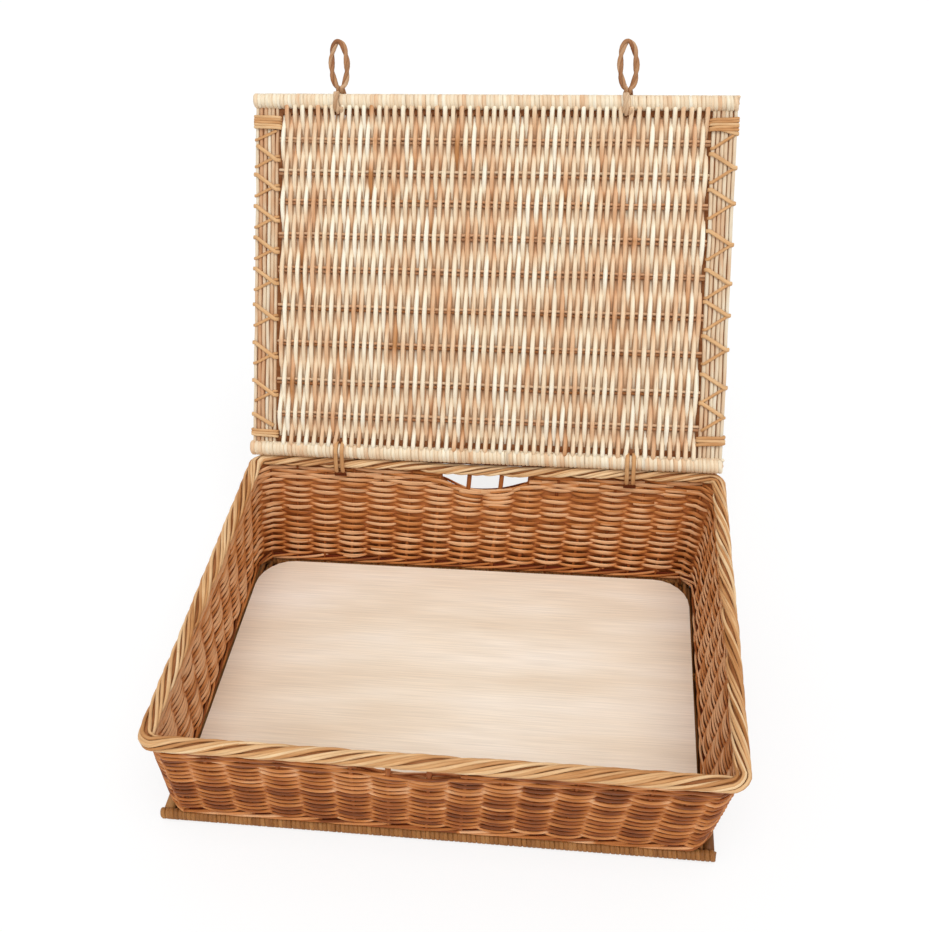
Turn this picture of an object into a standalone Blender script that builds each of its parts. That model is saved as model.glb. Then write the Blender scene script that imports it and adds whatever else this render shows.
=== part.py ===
"""Willow hamper basket with a hinged square-work lid.

Units are metres, Z is up, and the origin is the middle of the base's underside. The lid stands
open, leaning back on its two hinge ties, and every piece is a solid of its own.
"""
import math

import bmesh
import bpy
from mathutils import Matrix, Vector

OBJECT_NAME = "pie_basket"

# Overall basket. The rim stands a little to the right of the base, as the hand-made one does.
BASE_WIDTH = 0.490
BASE_DEPTH = 0.338
BASE_THICKNESS = 0.010
RIM_WIDTH = 0.500
RIM_DEPTH = 0.385
RIM_SHIFT = 0.013
BASKET_HEIGHT = 0.140

# Gap kept between pieces that lie against each other
FIT_GAP = 0.0003
# Extra reach of a cutter past the face that it opens, and past both faces of a leaning wall
CUT_OVERRUN = 0.004
WALL_CUT_OVERRUN = 0.008

# Base sticks
BASE_STICK_WIDTH = 0.010
BASE_STICK_THICKNESS = 0.0055
BASE_STICK_COUNT = 4

# Walls
WALL_THICKNESS = 0.008
WALL_INSET = 0.002
CORNER_RUN = 0.028
STAKE_SPACING = 0.0295
SIDING_GROOVE = 0.002
UPSETT_HEIGHT = 0.009
UPSETT_PROUD = 0.001

# Border
BORDER_WIDTH = 0.015
BORDER_HEIGHT = 0.012
BORDER_OVERHANG = 0.003
BORDER_ROUNDING = 0.0035

# Hand-holes, offset from the rim's middle
HANDHOLE_WIDTH = 0.096
HANDHOLE_DEPTH = 0.0155
HANDHOLE_FRONT_OFFSET = -0.021
HANDHOLE_BACK_OFFSET = 0.0035
HANDHOLE_STAKE_SPACING = 0.034
STAKE_RADIUS = 0.0025
STAKE_END_GAP = 0.0007

# Floor board
BOARD_THICKNESS = 0.003
BOARD_CLEARANCE = 0.0015

# Lid
LID_WIDTH = 0.492
LID_LEAN = math.radians(31.5)
LID_EDGE_RADIUS = 0.0075
LID_EDGE_INSET = 0.0045
LID_FRONT_INSET = 0.018
LID_WEAVE_THICKNESS = 0.009
LID_WEAVE_GROOVE = 0.002
LID_SIDE_ZONE = 0.028
LID_SIDE_ROD_RADIUS = 0.0027
LID_SIDE_ROD_COUNT = 4
LID_STICK_WIDTH = 0.0085
LID_STICK_THICKNESS = 0.0045
LID_STICK_COUNT = 9

# Lid lacing and corner bindings. The shares are where a turn's bends lie along its pitch.
LACING_RADIUS = 0.0011
LACING_CORNER = 0.0012
LACING_LAP_SHARES = (0.04, 0.46, 0.48, 0.52, 0.54, 0.96, 0.98, 1.02)
BINDING_LENGTH = 0.010
BINDING_THICKNESS = 0.0012
BINDING_OFFSET = 0.006
BINDING_TO_LACING = 0.002

# Hinge ties, placed from the rim's middle
TIE_RADIUS = 0.0019
TIE_STRAND_SPACING = 0.006
TIE_LEFT = 0.151
TIE_RIGHT = 0.153
TIE_BEND = 0.003
TIE_BEND_SHARE = 1.0 / 3.0
TIE_SLOT_MARGIN = 0.0012

# Closure loops, placed from the lid's middle. Their tips lean a little to the left.
LOOP_RADIUS = 0.003
LOOP_LEG_SPACING = 0.007
LOOP_EYE_WIDTH = 0.0165
LOOP_NECK_REACH = 0.0136
LOOP_REACH = 0.0605
LOOP_LEFT = 0.156
LOOP_RIGHT = 0.137
LOOP_LEFT_LEAN = 0.0035
LOOP_RIGHT_LEAN = 0.0015
LOOP_SLOT_MARGIN = 0.0012
LOOP_HOOK_START = math.radians(-225.0)
LOOP_HOOK_TURN = math.radians(185.0)

# Facets of round pieces and steps of bends
ROD_SIDES = 12
EDGE_SIDES = 16
BORDER_ROUNDING_SEGMENTS = 2
BOARD_CORNER_STEPS = 6
BAND_CORNER_STEPS = 2
LACING_RESOLUTION = 1
TUBE_RESOLUTION = 2
TIE_ARC_STEPS = 9
LOOP_HOOK_STEPS = 10
LOOP_EYE_STEPS = 20
GROOVE_STEPS = 4
# Points of a tube's mesh nearer than this share of the fit gap are one point
WELD_SHARE = 0.01
# Stretches of a wound rod are neighbours along it within this share of its radius
GAP_NEIGHBOUR_SHARE = 8.0
QUARTER_TURN = math.pi / 2

# Heights and places that follow from the sizes above
WALL_FOOT = BASE_THICKNESS + FIT_GAP
WALL_TOP = BASKET_HEIGHT - BORDER_HEIGHT - FIT_GAP
UPSETT_TOP = WALL_FOOT + UPSETT_HEIGHT
SIDING_FOOT = UPSETT_TOP + FIT_GAP
BORDER_MIDDLE = BASKET_HEIGHT - BORDER_HEIGHT / 2
HINGE_Y = RIM_DEPTH / 2 - LID_EDGE_INSET
HINGE_Z = BASKET_HEIGHT + FIT_GAP + LID_EDGE_RADIUS
LID_SPAN = HINGE_Y + RIM_DEPTH / 2 - LID_FRONT_INSET
TIE_PLACES = (("left", -TIE_LEFT), ("right", TIE_RIGHT))
LOOP_PLACES = (("left", -LOOP_LEFT, LOOP_LEFT_LEAN), ("right", LOOP_RIGHT, LOOP_RIGHT_LEAN))

# A wall stretch without grooves, as shares along it and shares of the groove
PLAIN_PROFILE = ((0.0, 0.0), (1.0, 0.0))

WILLOW_SIDING = (0.52, 0.27, 0.12)
WILLOW_BORDER = (0.74, 0.48, 0.27)
WILLOW_LID = (0.78, 0.57, 0.37)
WILLOW_LACING = (0.70, 0.48, 0.28)
WILLOW_BROWN = (0.36, 0.20, 0.10)
PLYWOOD = (0.80, 0.68, 0.53)
WILLOW_ROUGHNESS = 0.6
PLYWOOD_ROUGHNESS = 0.75


def clear_scene():
    """Remove whatever the scene holds."""
    for item in list(bpy.data.objects):
        bpy.data.objects.remove(item, do_unlink=True)


def new_collection(name):
    """A collection linked to the scene."""
    collection = bpy.data.collections.new(name)
    bpy.context.scene.collection.children.link(collection)
    return collection


def dress(item, colour, roughness=WILLOW_ROUGHNESS):
    """Give an object a plain material of its own."""
    material = bpy.data.materials.new(item.name)
    material.use_nodes = True
    shader = material.node_tree.nodes["Principled BSDF"]
    shader.inputs["Base Color"].default_value = (*colour, 1.0)
    shader.inputs["Roughness"].default_value = roughness
    shader.inputs["Metallic"].default_value = 0.0
    item.data.materials.append(material)


def place(item, parent=None, location=(0.0, 0.0, 0.0), rotation=(0.0, 0.0, 0.0)):
    """Set an object under its parent."""
    item.parent = parent
    item.location = location
    item.rotation_euler = rotation


def mesh_object(name, mesh_builder, colour, collection):
    """A mesh object from a bmesh, dressed and linked."""
    mesh = bpy.data.meshes.new(name)
    mesh_builder.to_mesh(mesh)
    mesh_builder.free()
    item = bpy.data.objects.new(name, mesh)
    collection.objects.link(item)
    if colour is not None:
        dress(item, colour)
    return item


def new_empty(name, collection, parent, location, rotation=(0.0, 0.0, 0.0)):
    """An empty that marks a joint axis or carries a group."""
    item = bpy.data.objects.new(name, None)
    collection.objects.link(item)
    place(item, parent, location, rotation)
    return item


def mark_cutter(item):
    """Keep a cutter out of the build."""
    item.hide_render = True
    item.display_type = "WIRE"


def cut(item, cutter, name, solver="EXACT"):
    """Subtract a cutter from an object."""
    modifier = item.modifiers.new(name, "BOOLEAN")
    modifier.operation = "DIFFERENCE"
    modifier.solver = solver
    modifier.object = cutter


def box_object(name, size, colour, collection):
    """A box centred on its origin."""
    builder = bmesh.new()
    bmesh.ops.create_cube(builder, size=1.0)
    bmesh.ops.scale(builder, vec=Vector(size), verts=builder.verts)
    return mesh_object(name, builder, colour, collection)


def oval_rod_mesh(width, thickness, length, sides):
    """An oval cylinder along X, its wide way along Y."""
    builder = bmesh.new()
    bmesh.ops.create_cone(builder, cap_ends=True, segments=sides, radius1=0.5, radius2=0.5, depth=1.0)
    bmesh.ops.scale(builder, vec=Vector((thickness, width, length)), verts=builder.verts)
    turn = Matrix.Rotation(QUARTER_TURN, 3, "Y")
    bmesh.ops.rotate(builder, cent=Vector(), matrix=turn, verts=builder.verts)
    for face in builder.faces:
        face.smooth = len(face.verts) == 4
    return builder


def rod_object(name, width, thickness, length, colour, collection, sides=ROD_SIDES):
    """A straight rod along X."""
    return mesh_object(name, oval_rod_mesh(width, thickness, length, sides), colour, collection)


def tube_object(name, points, radius, resolution, colour, collection):
    """A bent rod that follows the points."""
    curve = bpy.data.curves.new(name, "CURVE")
    curve.dimensions = "3D"
    curve.bevel_depth = radius
    curve.bevel_resolution = resolution
    curve.use_fill_caps = True
    spline = curve.splines.new("POLY")
    spline.points.add(len(points) - 1)
    for point, target in zip(points, spline.points):
        target.co = (*point, 1.0)
    item = bpy.data.objects.new(name, curve)
    collection.objects.link(item)
    dress(item, colour)
    return item


def print_least_gap(name, points, radius):
    """Print the least gap of a wound rod to itself, measured on points along it."""
    along = []
    travelled = 0.0
    for start, end in zip(points, points[1:]):
        leg = (Vector(end) - Vector(start)).length
        count = math.ceil(leg / radius)
        for step in range(count):
            along.append((travelled + leg * step / count, Vector(start).lerp(Vector(end), step / count)))
        travelled += leg
    neighbour = GAP_NEIGHBOUR_SHARE * radius
    gap = min(
        (point - other).length
        for index, (reach, point) in enumerate(along)
        for other_reach, other in along[index + 1:]
        if other_reach - reach > neighbour
    ) - 2 * radius
    print(f"{name}: least gap to itself {gap:.5f} m")


def plate_object(name, outlines, thickness, colour, collection, roughness=WILLOW_ROUGHNESS):
    """A flat piece: the first outline is its edge and the others are holes."""
    curve = bpy.data.curves.new(name, "CURVE")
    curve.dimensions = "2D"
    curve.fill_mode = "BOTH"
    curve.extrude = thickness / 2
    for outline in outlines:
        spline = curve.splines.new("POLY")
        spline.points.add(len(outline) - 1)
        spline.use_cyclic_u = True
        for point, target in zip(outline, spline.points):
            target.co = (point[0], point[1], 0.0, 1.0)
    item = bpy.data.objects.new(name, curve)
    collection.objects.link(item)
    dress(item, colour, roughness)
    return item


def curve_to_mesh(item):
    """Turn a curve object into a welded mesh object of the same name and place."""
    name = item.name
    bpy.context.view_layer.update()
    evaluated = item.evaluated_get(bpy.context.evaluated_depsgraph_get())
    mesh = bpy.data.meshes.new_from_object(evaluated)
    builder = bmesh.new()
    builder.from_mesh(mesh)
    bmesh.ops.remove_doubles(builder, verts=builder.verts, dist=FIT_GAP * WELD_SHARE)
    bmesh.ops.recalc_face_normals(builder, faces=builder.faces)
    builder.to_mesh(mesh)
    builder.free()
    solid = bpy.data.objects.new(name + "_mesh", mesh)
    item.users_collection[0].objects.link(solid)
    place(solid, item.parent, item.location.copy(), item.rotation_euler.copy())
    bpy.data.objects.remove(item, do_unlink=True)
    solid.name = name
    return solid


def rectangle(half_width, half_height):
    """Corners of a rectangle about the origin."""
    return [
        (-half_width, -half_height),
        (half_width, -half_height),
        (half_width, half_height),
        (-half_width, half_height),
    ]


def rounded_rectangle(half_width, half_height, radius, steps):
    """A rectangle about the origin with round corners."""
    points = []
    for corner in range(4):
        start = QUARTER_TURN * (corner + 2)
        side_x = -1.0 if corner in (0, 3) else 1.0
        side_y = -1.0 if corner in (0, 1) else 1.0
        for step in range(steps + 1):
            angle = start + QUARTER_TURN * step / steps
            x = side_x * (half_width - radius) + radius * math.cos(angle)
            y = side_y * (half_height - radius) + radius * math.sin(angle)
            points.append((x, y))
    return points


def oval(centre, half_width, half_height, sides):
    """An oval outline about a centre."""
    points = []
    for side in range(sides):
        angle = 2.0 * math.pi * (side + 0.5) / sides
        points.append((centre + half_width * math.cos(angle), half_height * math.sin(angle)))
    return points


def stick_places(first, last, count):
    """Evenly spaced places between two edges, none on the edges."""
    pitch = (last - first) / (count + 1)
    return [first + pitch * (index + 1) for index in range(count)]


def wall_outline(height, inset):
    """The eight corners of the wall at a height, inset from its outer face, from the front left on."""
    share = (height - WALL_FOOT) / (WALL_TOP - WALL_FOOT)
    foot_x = BASE_WIDTH / 2 - WALL_INSET
    foot_y = BASE_DEPTH / 2 - WALL_INSET
    top_x = RIM_WIDTH / 2 - BORDER_OVERHANG
    top_y = RIM_DEPTH / 2 - BORDER_OVERHANG
    half_x = foot_x + (top_x - foot_x) * share - inset
    half_y = foot_y + (top_y - foot_y) * share - inset
    run = CORNER_RUN - inset * (2.0 - math.sqrt(2.0))
    shift = RIM_SHIFT * share
    corners = [
        (-half_x + run, -half_y),
        (half_x - run, -half_y),
        (half_x, -half_y + run),
        (half_x, half_y - run),
        (half_x - run, half_y),
        (-half_x + run, half_y),
        (-half_x, half_y - run),
        (-half_x, -half_y + run),
    ]
    return [Vector((x + shift, y, height)) for x, y in corners]


def siding_profile(side, groove_point):
    """Shares of a wall stretch with their share of the groove between stakes, one groove at a given point."""
    outline = wall_outline(WALL_TOP, 0.0)
    start = outline[side]
    length = (outline[(side + 1) % 8] - start).length
    middle = (groove_point - start).length
    step = STAKE_SPACING / GROOVE_STEPS
    first = math.ceil(0.5 - middle / step)
    last = math.floor((length - middle) / step - 0.5)
    profile = [(0.0, 0.0)]
    for number in range(first, last + 1):
        groove = 1.0 - abs(math.sin(math.pi * number / GROOVE_STEPS))
        profile.append(((middle + number * step) / length, groove))
    profile.append((1.0, 0.0))
    return profile


def wall_section(name, side, low, high, outer_inset, inner_inset, colour, collection, profile=PLAIN_PROFILE):
    """One straight stretch of wall, between two neighbouring corners of the outline."""
    builder = bmesh.new()
    bmesh.ops.create_cube(builder, size=1.0)
    if len(profile) > 2:
        along = [edge for edge in builder.edges if edge.verts[0].co.x * edge.verts[1].co.x < 0]
        bmesh.ops.subdivide_edges(builder, edges=along, cuts=len(profile) - 2)
    for vertex in builder.verts:
        share, groove = profile[round((vertex.co.x + 0.5) * (len(profile) - 1))]
        height = high if vertex.co.z > 0 else low
        depth = SIDING_GROOVE * groove
        inset = inner_inset - depth if vertex.co.y > 0 else outer_inset + depth
        outline = wall_outline(height, inset)
        start = outline[side]
        end = outline[(side + 1) % 8]
        trim = (end - start).normalized() * FIT_GAP
        vertex.co = (start + trim).lerp(end - trim, share)
    centre = sum((vertex.co for vertex in builder.verts), Vector()) / len(builder.verts)
    bmesh.ops.translate(builder, vec=-centre, verts=builder.verts)
    item = mesh_object(name, builder, colour, collection)
    place(item, location=centre)
    return item


def base_pieces(parts):
    """The woven base: its floor, the sticks inside it and the rods round its edge."""
    edge_radius = BASE_THICKNESS / 2 - FIT_GAP
    middle = BASE_THICKNESS / 2
    weave_half_x = BASE_WIDTH / 2 - 2 * edge_radius - FIT_GAP
    weave_half_y = BASE_DEPTH / 2 - 2 * edge_radius - FIT_GAP
    places = stick_places(-weave_half_y, weave_half_y, BASE_STICK_COUNT)
    outlines = [rectangle(weave_half_y, BASE_THICKNESS / 2)]
    for y in places:
        half_width = BASE_STICK_WIDTH / 2 + FIT_GAP
        half_height = BASE_STICK_THICKNESS / 2 + FIT_GAP
        outlines.append(oval(y, half_width, half_height, ROD_SIDES))
    weave = plate_object("base_weave", outlines, 2 * weave_half_x, WILLOW_SIDING, parts)
    along_x = (QUARTER_TURN, 0.0, QUARTER_TURN)
    place(weave, location=(0.0, 0.0, middle), rotation=along_x)
    for index, y in enumerate(places):
        name = f"base_stick_{index + 1}"
        stick = rod_object(
            name, BASE_STICK_WIDTH, BASE_STICK_THICKNESS, 2 * weave_half_x, WILLOW_SIDING, parts
        )
        place(stick, location=(0.0, y, middle))
    for side, word in ((-1.0, "front"), (1.0, "back")):
        size = 2 * edge_radius
        rod = rod_object(f"base_{word}_edge", size, size, BASE_WIDTH, WILLOW_SIDING, parts, EDGE_SIDES)
        place(rod, location=(0.0, side * (BASE_DEPTH / 2 - edge_radius), middle))
    for side, word in ((-1.0, "left"), (1.0, "right")):
        size = 2 * edge_radius
        rod = rod_object(
            f"base_{word}_rod", size, size, 2 * weave_half_y, WILLOW_SIDING, parts, EDGE_SIDES
        )
        location = (side * (BASE_WIDTH / 2 - edge_radius), 0.0, middle)
        place(rod, location=location, rotation=(0.0, 0.0, QUARTER_TURN))


def handhole_cutter(name, side, offset, cutters):
    """An oval cutter whose lower half is the hand-hole under the border."""
    length = WALL_THICKNESS + 2 * WALL_CUT_OVERRUN
    item = rod_object(name, HANDHOLE_WIDTH, 2 * HANDHOLE_DEPTH, length, None, cutters, 2 * EDGE_SIDES)
    wall_middle = side * (RIM_DEPTH / 2 - BORDER_OVERHANG - WALL_THICKNESS / 2)
    place(item, None, (RIM_SHIFT + offset, wall_middle, WALL_TOP), (0.0, 0.0, QUARTER_TURN))
    mark_cutter(item)
    return item


def handhole_stakes(side, word, offset, parts):
    """The two stakes that cross a hand-hole."""
    half_spacing = HANDHOLE_STAKE_SPACING / 2
    drop = HANDHOLE_DEPTH * math.sqrt(1.0 - (half_spacing / (HANDHOLE_WIDTH / 2)) ** 2)
    top = wall_outline(WALL_TOP - STAKE_END_GAP, WALL_THICKNESS / 2)
    foot = wall_outline(WALL_TOP - drop + STAKE_END_GAP, WALL_THICKNESS / 2)
    corner = 0 if side < 0 else 4
    for index, apart in ((1, -half_spacing), (2, half_spacing)):
        x = RIM_SHIFT + offset + apart
        high = Vector((x, top[corner].y, top[corner].z))
        low = Vector((x, foot[corner].y, foot[corner].z))
        stake = rod_object(
            f"handhole_stake_{word}_{index}", 2 * STAKE_RADIUS, 2 * STAKE_RADIUS, (high - low).length,
            WILLOW_SIDING, parts,
        )
        lean = (high - low).to_track_quat("X", "Z").to_euler()
        place(stake, None, (high + low) / 2, lean)


def tie_notch_cutters(cutters):
    """Notches in the top of the back wall that the hinge ties pass through."""
    items = []
    depth = 2 * TIE_RADIUS + TIE_SLOT_MARGIN
    size = (
        TIE_STRAND_SPACING + 2 * TIE_RADIUS + 2 * TIE_SLOT_MARGIN,
        WALL_THICKNESS + 2 * WALL_CUT_OVERRUN,
        2 * depth,
    )
    for word, x in TIE_PLACES:
        item = box_object(f"tie_notch_{word}", size, None, cutters)
        wall_middle = RIM_DEPTH / 2 - BORDER_OVERHANG - WALL_THICKNESS / 2
        place(item, None, (RIM_SHIFT + x, wall_middle, WALL_TOP))
        mark_cutter(item)
        items.append(item)
    return items


def wall_pieces(parts, cutters):
    """Upsett, siding and corners on all four sides."""
    sides = ("front", "corner_front_right", "right", "corner_back_right")
    sides += ("back", "corner_back_left", "left", "corner_front_left")
    handhole_offsets = {"front": HANDHOLE_FRONT_OFFSET, "back": HANDHOLE_BACK_OFFSET}
    outline = wall_outline(WALL_TOP, 0.0)
    for side, word in enumerate(sides):
        if side % 2:
            wall_section(word, side, WALL_FOOT, WALL_TOP, 0.0, WALL_THICKNESS, WILLOW_SIDING, parts)
            continue
        wall_section(
            f"upsett_{word}", side, WALL_FOOT, UPSETT_TOP,
            -UPSETT_PROUD, WALL_THICKNESS + UPSETT_PROUD, WILLOW_SIDING, parts,
        )
        groove_point = (outline[side] + outline[(side + 1) % 8]) / 2
        groove_point.x += handhole_offsets.get(word, 0.0)
        siding = wall_section(
            f"siding_{word}", side, SIDING_FOOT, WALL_TOP, 0.0, WALL_THICKNESS, WILLOW_SIDING, parts,
            siding_profile(side, groove_point),
        )
        if word == "front":
            hole = handhole_cutter("handhole_front_cutter", -1.0, HANDHOLE_FRONT_OFFSET, cutters)
            cut(siding, hole, "handhole")
        if word == "back":
            hole = handhole_cutter("handhole_back_cutter", 1.0, HANDHOLE_BACK_OFFSET, cutters)
            cut(siding, hole, "handhole")
            for notch in tie_notch_cutters(cutters):
                cut(siding, notch, notch.name)
    handhole_stakes(-1.0, "front", HANDHOLE_FRONT_OFFSET, parts)
    handhole_stakes(1.0, "back", HANDHOLE_BACK_OFFSET, parts)


def border_pieces(parts):
    """The four border plaits on the rim."""
    side_length = RIM_DEPTH - 2 * BORDER_WIDTH - 2 * FIT_GAP
    rows = (
        ("front", (RIM_WIDTH, BORDER_WIDTH, BORDER_HEIGHT), 0.0, -1.0),
        ("back", (RIM_WIDTH, BORDER_WIDTH, BORDER_HEIGHT), 0.0, 1.0),
        ("left", (BORDER_WIDTH, side_length, BORDER_HEIGHT), -1.0, 0.0),
        ("right", (BORDER_WIDTH, side_length, BORDER_HEIGHT), 1.0, 0.0),
    )
    for word, size, side_x, side_y in rows:
        item = box_object(f"border_{word}", size, WILLOW_BORDER, parts)
        x = RIM_SHIFT + side_x * (RIM_WIDTH - BORDER_WIDTH) / 2
        y = side_y * (RIM_DEPTH - BORDER_WIDTH) / 2
        place(item, None, (x, y, BORDER_MIDDLE))
        bevel = item.modifiers.new("rounding", "BEVEL")
        bevel.width = BORDER_ROUNDING
        bevel.segments = BORDER_ROUNDING_SEGMENTS


def floor_board(parts):
    """The loose plywood floor, shaped to the inside of the wall foot."""
    inset = WALL_THICKNESS + UPSETT_PROUD + BOARD_CLEARANCE
    foot = wall_outline(WALL_FOOT, inset)
    half_x = foot[2].x
    half_y = -foot[0].y
    run = half_x - foot[1].x
    radius = run * (1.0 + 1.0 / math.sqrt(2.0))
    outline = rounded_rectangle(half_x, half_y, radius, BOARD_CORNER_STEPS)
    board = plate_object(
        "floor_board", [outline], BOARD_THICKNESS, PLYWOOD, parts, PLYWOOD_ROUGHNESS
    )
    place(board, location=(0.0, 0.0, WALL_FOOT + BOARD_THICKNESS / 2))


def woven_section(low, high, pitch):
    """The lid panel's section: thick at its sticks, with a groove on both faces midway between them."""
    step = pitch / GROOVE_STEPS
    reaches = [low]
    reaches += [number * step for number in range(math.ceil(low / step), math.floor(high / step) + 1)]
    reaches.append(high)
    upper = []
    for reach in reaches:
        groove = 1.0 - abs(math.cos(math.pi * reach / pitch))
        upper.append(((low + high) / 2 - reach, LID_WEAVE_THICKNESS / 2 - LID_WEAVE_GROOVE * groove))
    return upper + [(place, -height) for place, height in reversed(upper)]


def lid_weave(axis, parts, cutters):
    """The woven lid panel with a channel for each cross stick, and slots at the ties and loops."""
    low = LID_EDGE_RADIUS + FIT_GAP
    high = LID_SPAN - LID_EDGE_RADIUS - FIT_GAP
    middle = (low + high) / 2
    half_x = LID_WIDTH / 2 - LID_SIDE_ZONE
    places = stick_places(0.0, LID_SPAN, LID_STICK_COUNT)
    outlines = [woven_section(low, high, LID_SPAN / (LID_STICK_COUNT + 1))]
    for reach in places:
        half_width = LID_STICK_WIDTH / 2 + FIT_GAP
        half_height = LID_STICK_THICKNESS / 2 + FIT_GAP
        outlines.append(oval(middle - reach, half_width, half_height, ROD_SIDES))
    weave = plate_object("lid_weave", outlines, 2 * half_x, WILLOW_LID, parts)
    along_x = (QUARTER_TURN, 0.0, QUARTER_TURN)
    place(weave, axis, (0.0, -middle, 0.0), along_x)
    weave = curve_to_mesh(weave)
    tie_reach = HINGE_Y - RIM_DEPTH / 2 + BORDER_WIDTH + FIT_GAP + 2 * TIE_RADIUS + TIE_SLOT_MARGIN
    tie_width = TIE_STRAND_SPACING + 2 * TIE_RADIUS + 2 * TIE_SLOT_MARGIN
    loop_reach = LID_EDGE_RADIUS + FIT_GAP + 2 * LOOP_RADIUS + LOOP_SLOT_MARGIN
    loop_width = LOOP_LEG_SPACING + 2 * LOOP_RADIUS + 2 * LOOP_SLOT_MARGIN
    height = LID_WEAVE_THICKNESS + CUT_OVERRUN
    slots = [(f"tie_slot_{word}", tie_width, tie_reach, 0.0, x) for word, x in TIE_PLACES]
    slots += [(f"loop_slot_{word}", loop_width, loop_reach, LID_SPAN, x) for word, x, lean in LOOP_PLACES]
    for name, width, reach, from_hinge, x in slots:
        slot = box_object(name, (width, 2 * reach, height), None, cutters)
        place(slot, axis, (x, -from_hinge, 0.0))
        mark_cutter(slot)
        cut(weave, slot, name, "MANIFOLD")
    for index, reach in enumerate(places):
        stick = rod_object(
            f"lid_stick_{index + 1}", LID_STICK_WIDTH, LID_STICK_THICKNESS, 2 * half_x, WILLOW_LID, parts
        )
        place(stick, axis, (0.0, -reach, 0.0))


def lid_edges(axis, parts):
    """The wrapped edge sticks at the hinge and at the front of the lid."""
    for name, reach in (("lid_rear_edge", 0.0), ("lid_front_edge", LID_SPAN)):
        size = 2 * LID_EDGE_RADIUS
        edge = rod_object(name, size, size, LID_WIDTH, WILLOW_LID, parts, EDGE_SIDES)
        place(edge, axis, (0.0, -reach, 0.0))


def side_rod_places():
    """Distances of the side rods from the lid's middle, from the outer one in."""
    lacing = FIT_GAP + 2 * LACING_RADIUS
    outer = LID_WIDTH / 2 - lacing - LID_SIDE_ROD_RADIUS
    inner = LID_WIDTH / 2 - LID_SIDE_ZONE + FIT_GAP + lacing + LID_SIDE_ROD_RADIUS
    step = (outer - inner) / (LID_SIDE_ROD_COUNT - 1)
    return [outer - step * index for index in range(LID_SIDE_ROD_COUNT)]


def lid_side_rods(axis, parts):
    """The straight rods that stiffen the lid's left and right sides."""
    length = LID_SPAN - 2 * LID_EDGE_RADIUS - 2 * FIT_GAP
    size = 2 * LID_SIDE_ROD_RADIUS
    for sign, word in ((-1.0, "left"), (1.0, "right")):
        for index, distance in enumerate(side_rod_places()):
            rod = rod_object(f"lid_side_rod_{word}_{index + 1}", size, size, length, WILLOW_LID, parts)
            location = (sign * distance, -LID_SPAN / 2, 0.0)
            place(rod, axis, location, (0.0, 0.0, QUARTER_TURN))


def lid_bindings(axis, parts):
    """Flat bands round the side rods near the lid's four corners."""
    places = side_rod_places()
    middle = (places[0] + places[-1]) / 2
    hole_x = (places[0] - places[-1]) / 2 + LID_SIDE_ROD_RADIUS + FIT_GAP
    hole_z = LID_SIDE_ROD_RADIUS + FIT_GAP
    reach = LID_EDGE_RADIUS + BINDING_OFFSET + BINDING_LENGTH / 2
    for sign, side in ((-1.0, "left"), (1.0, "right")):
        for end, from_hinge in (("rear", reach), ("front", LID_SPAN - reach)):
            inner = rounded_rectangle(hole_x, hole_z, hole_z / 2, BAND_CORNER_STEPS)
            outer = rounded_rectangle(
                hole_x + BINDING_THICKNESS, hole_z + BINDING_THICKNESS,
                hole_z / 2 + BINDING_THICKNESS, BAND_CORNER_STEPS,
            )
            name = f"lid_binding_{side}_{end}"
            band = plate_object(name, [outer, inner], BINDING_LENGTH, WILLOW_LACING, parts)
            location = (sign * middle, -from_hinge, 0.0)
            place(band, axis, location, (QUARTER_TURN, 0.0, 0.0))


def lid_lacing(axis, parts):
    """The lacing that winds round the side rods from the rear binding to the front one."""
    places = side_rod_places()
    wrap = LID_SIDE_ROD_RADIUS + FIT_GAP + LACING_RADIUS
    outer = places[0] + wrap
    inner = places[-1] - wrap
    start = LID_EDGE_RADIUS + BINDING_OFFSET + BINDING_LENGTH + BINDING_TO_LACING + LACING_RADIUS
    length = LID_SPAN - 2 * start
    turns = LID_STICK_COUNT - 1
    lap = (
        (inner + LACING_CORNER, -wrap),
        (outer - LACING_CORNER, -wrap),
        (outer, -wrap + LACING_CORNER),
        (outer, wrap - LACING_CORNER),
        (outer - LACING_CORNER, wrap),
        (inner + LACING_CORNER, wrap),
        (inner, wrap - LACING_CORNER),
        (inner, -wrap + LACING_CORNER),
    )
    for sign, word in ((-1.0, "left"), (1.0, "right")):
        points = []
        for turn in range(turns):
            for (x, z), lap_share in zip(lap, LACING_LAP_SHARES):
                reach = start + length * (turn + lap_share) / turns
                points.append((sign * x, -min(reach, LID_SPAN - start), z))
        points = points[:-2]
        name = f"lid_lacing_{word}"
        lacing = tube_object(name, points, LACING_RADIUS, LACING_RESOLUTION, WILLOW_LACING, parts)
        place(lacing, axis)
        print_least_gap(name, points, LACING_RADIUS)


def tie_turn(x):
    """One turn of a hinge tie, round the lid's rear edge and the border."""
    wrap = LID_EDGE_RADIUS + FIT_GAP + TIE_RADIUS
    outer = HINGE_Y + wrap
    inner = RIM_DEPTH / 2 - BORDER_WIDTH - FIT_GAP - TIE_RADIUS
    bottom = BASKET_HEIGHT - BORDER_HEIGHT - FIT_GAP - TIE_RADIUS
    bend = TIE_BEND * TIE_BEND_SHARE
    points = [
        (x, outer - TIE_BEND, bottom),
        (x, outer - bend, bottom + bend),
        (x, outer, bottom + TIE_BEND),
    ]
    for step in range(TIE_ARC_STEPS + 1):
        angle = math.pi * step / TIE_ARC_STEPS
        points.append((x, HINGE_Y + wrap * math.cos(angle), HINGE_Z + wrap * math.sin(angle)))
    points += [
        (x, (HINGE_Y - wrap + inner) / 2 - TIE_RADIUS / 2, HINGE_Z - LID_EDGE_RADIUS / 2),
        (x, inner, BASKET_HEIGHT - TIE_RADIUS / 2),
        (x, inner, bottom + TIE_BEND),
        (x, inner + bend, bottom + bend),
        (x, inner + TIE_BEND, bottom),
    ]
    return points


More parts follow.
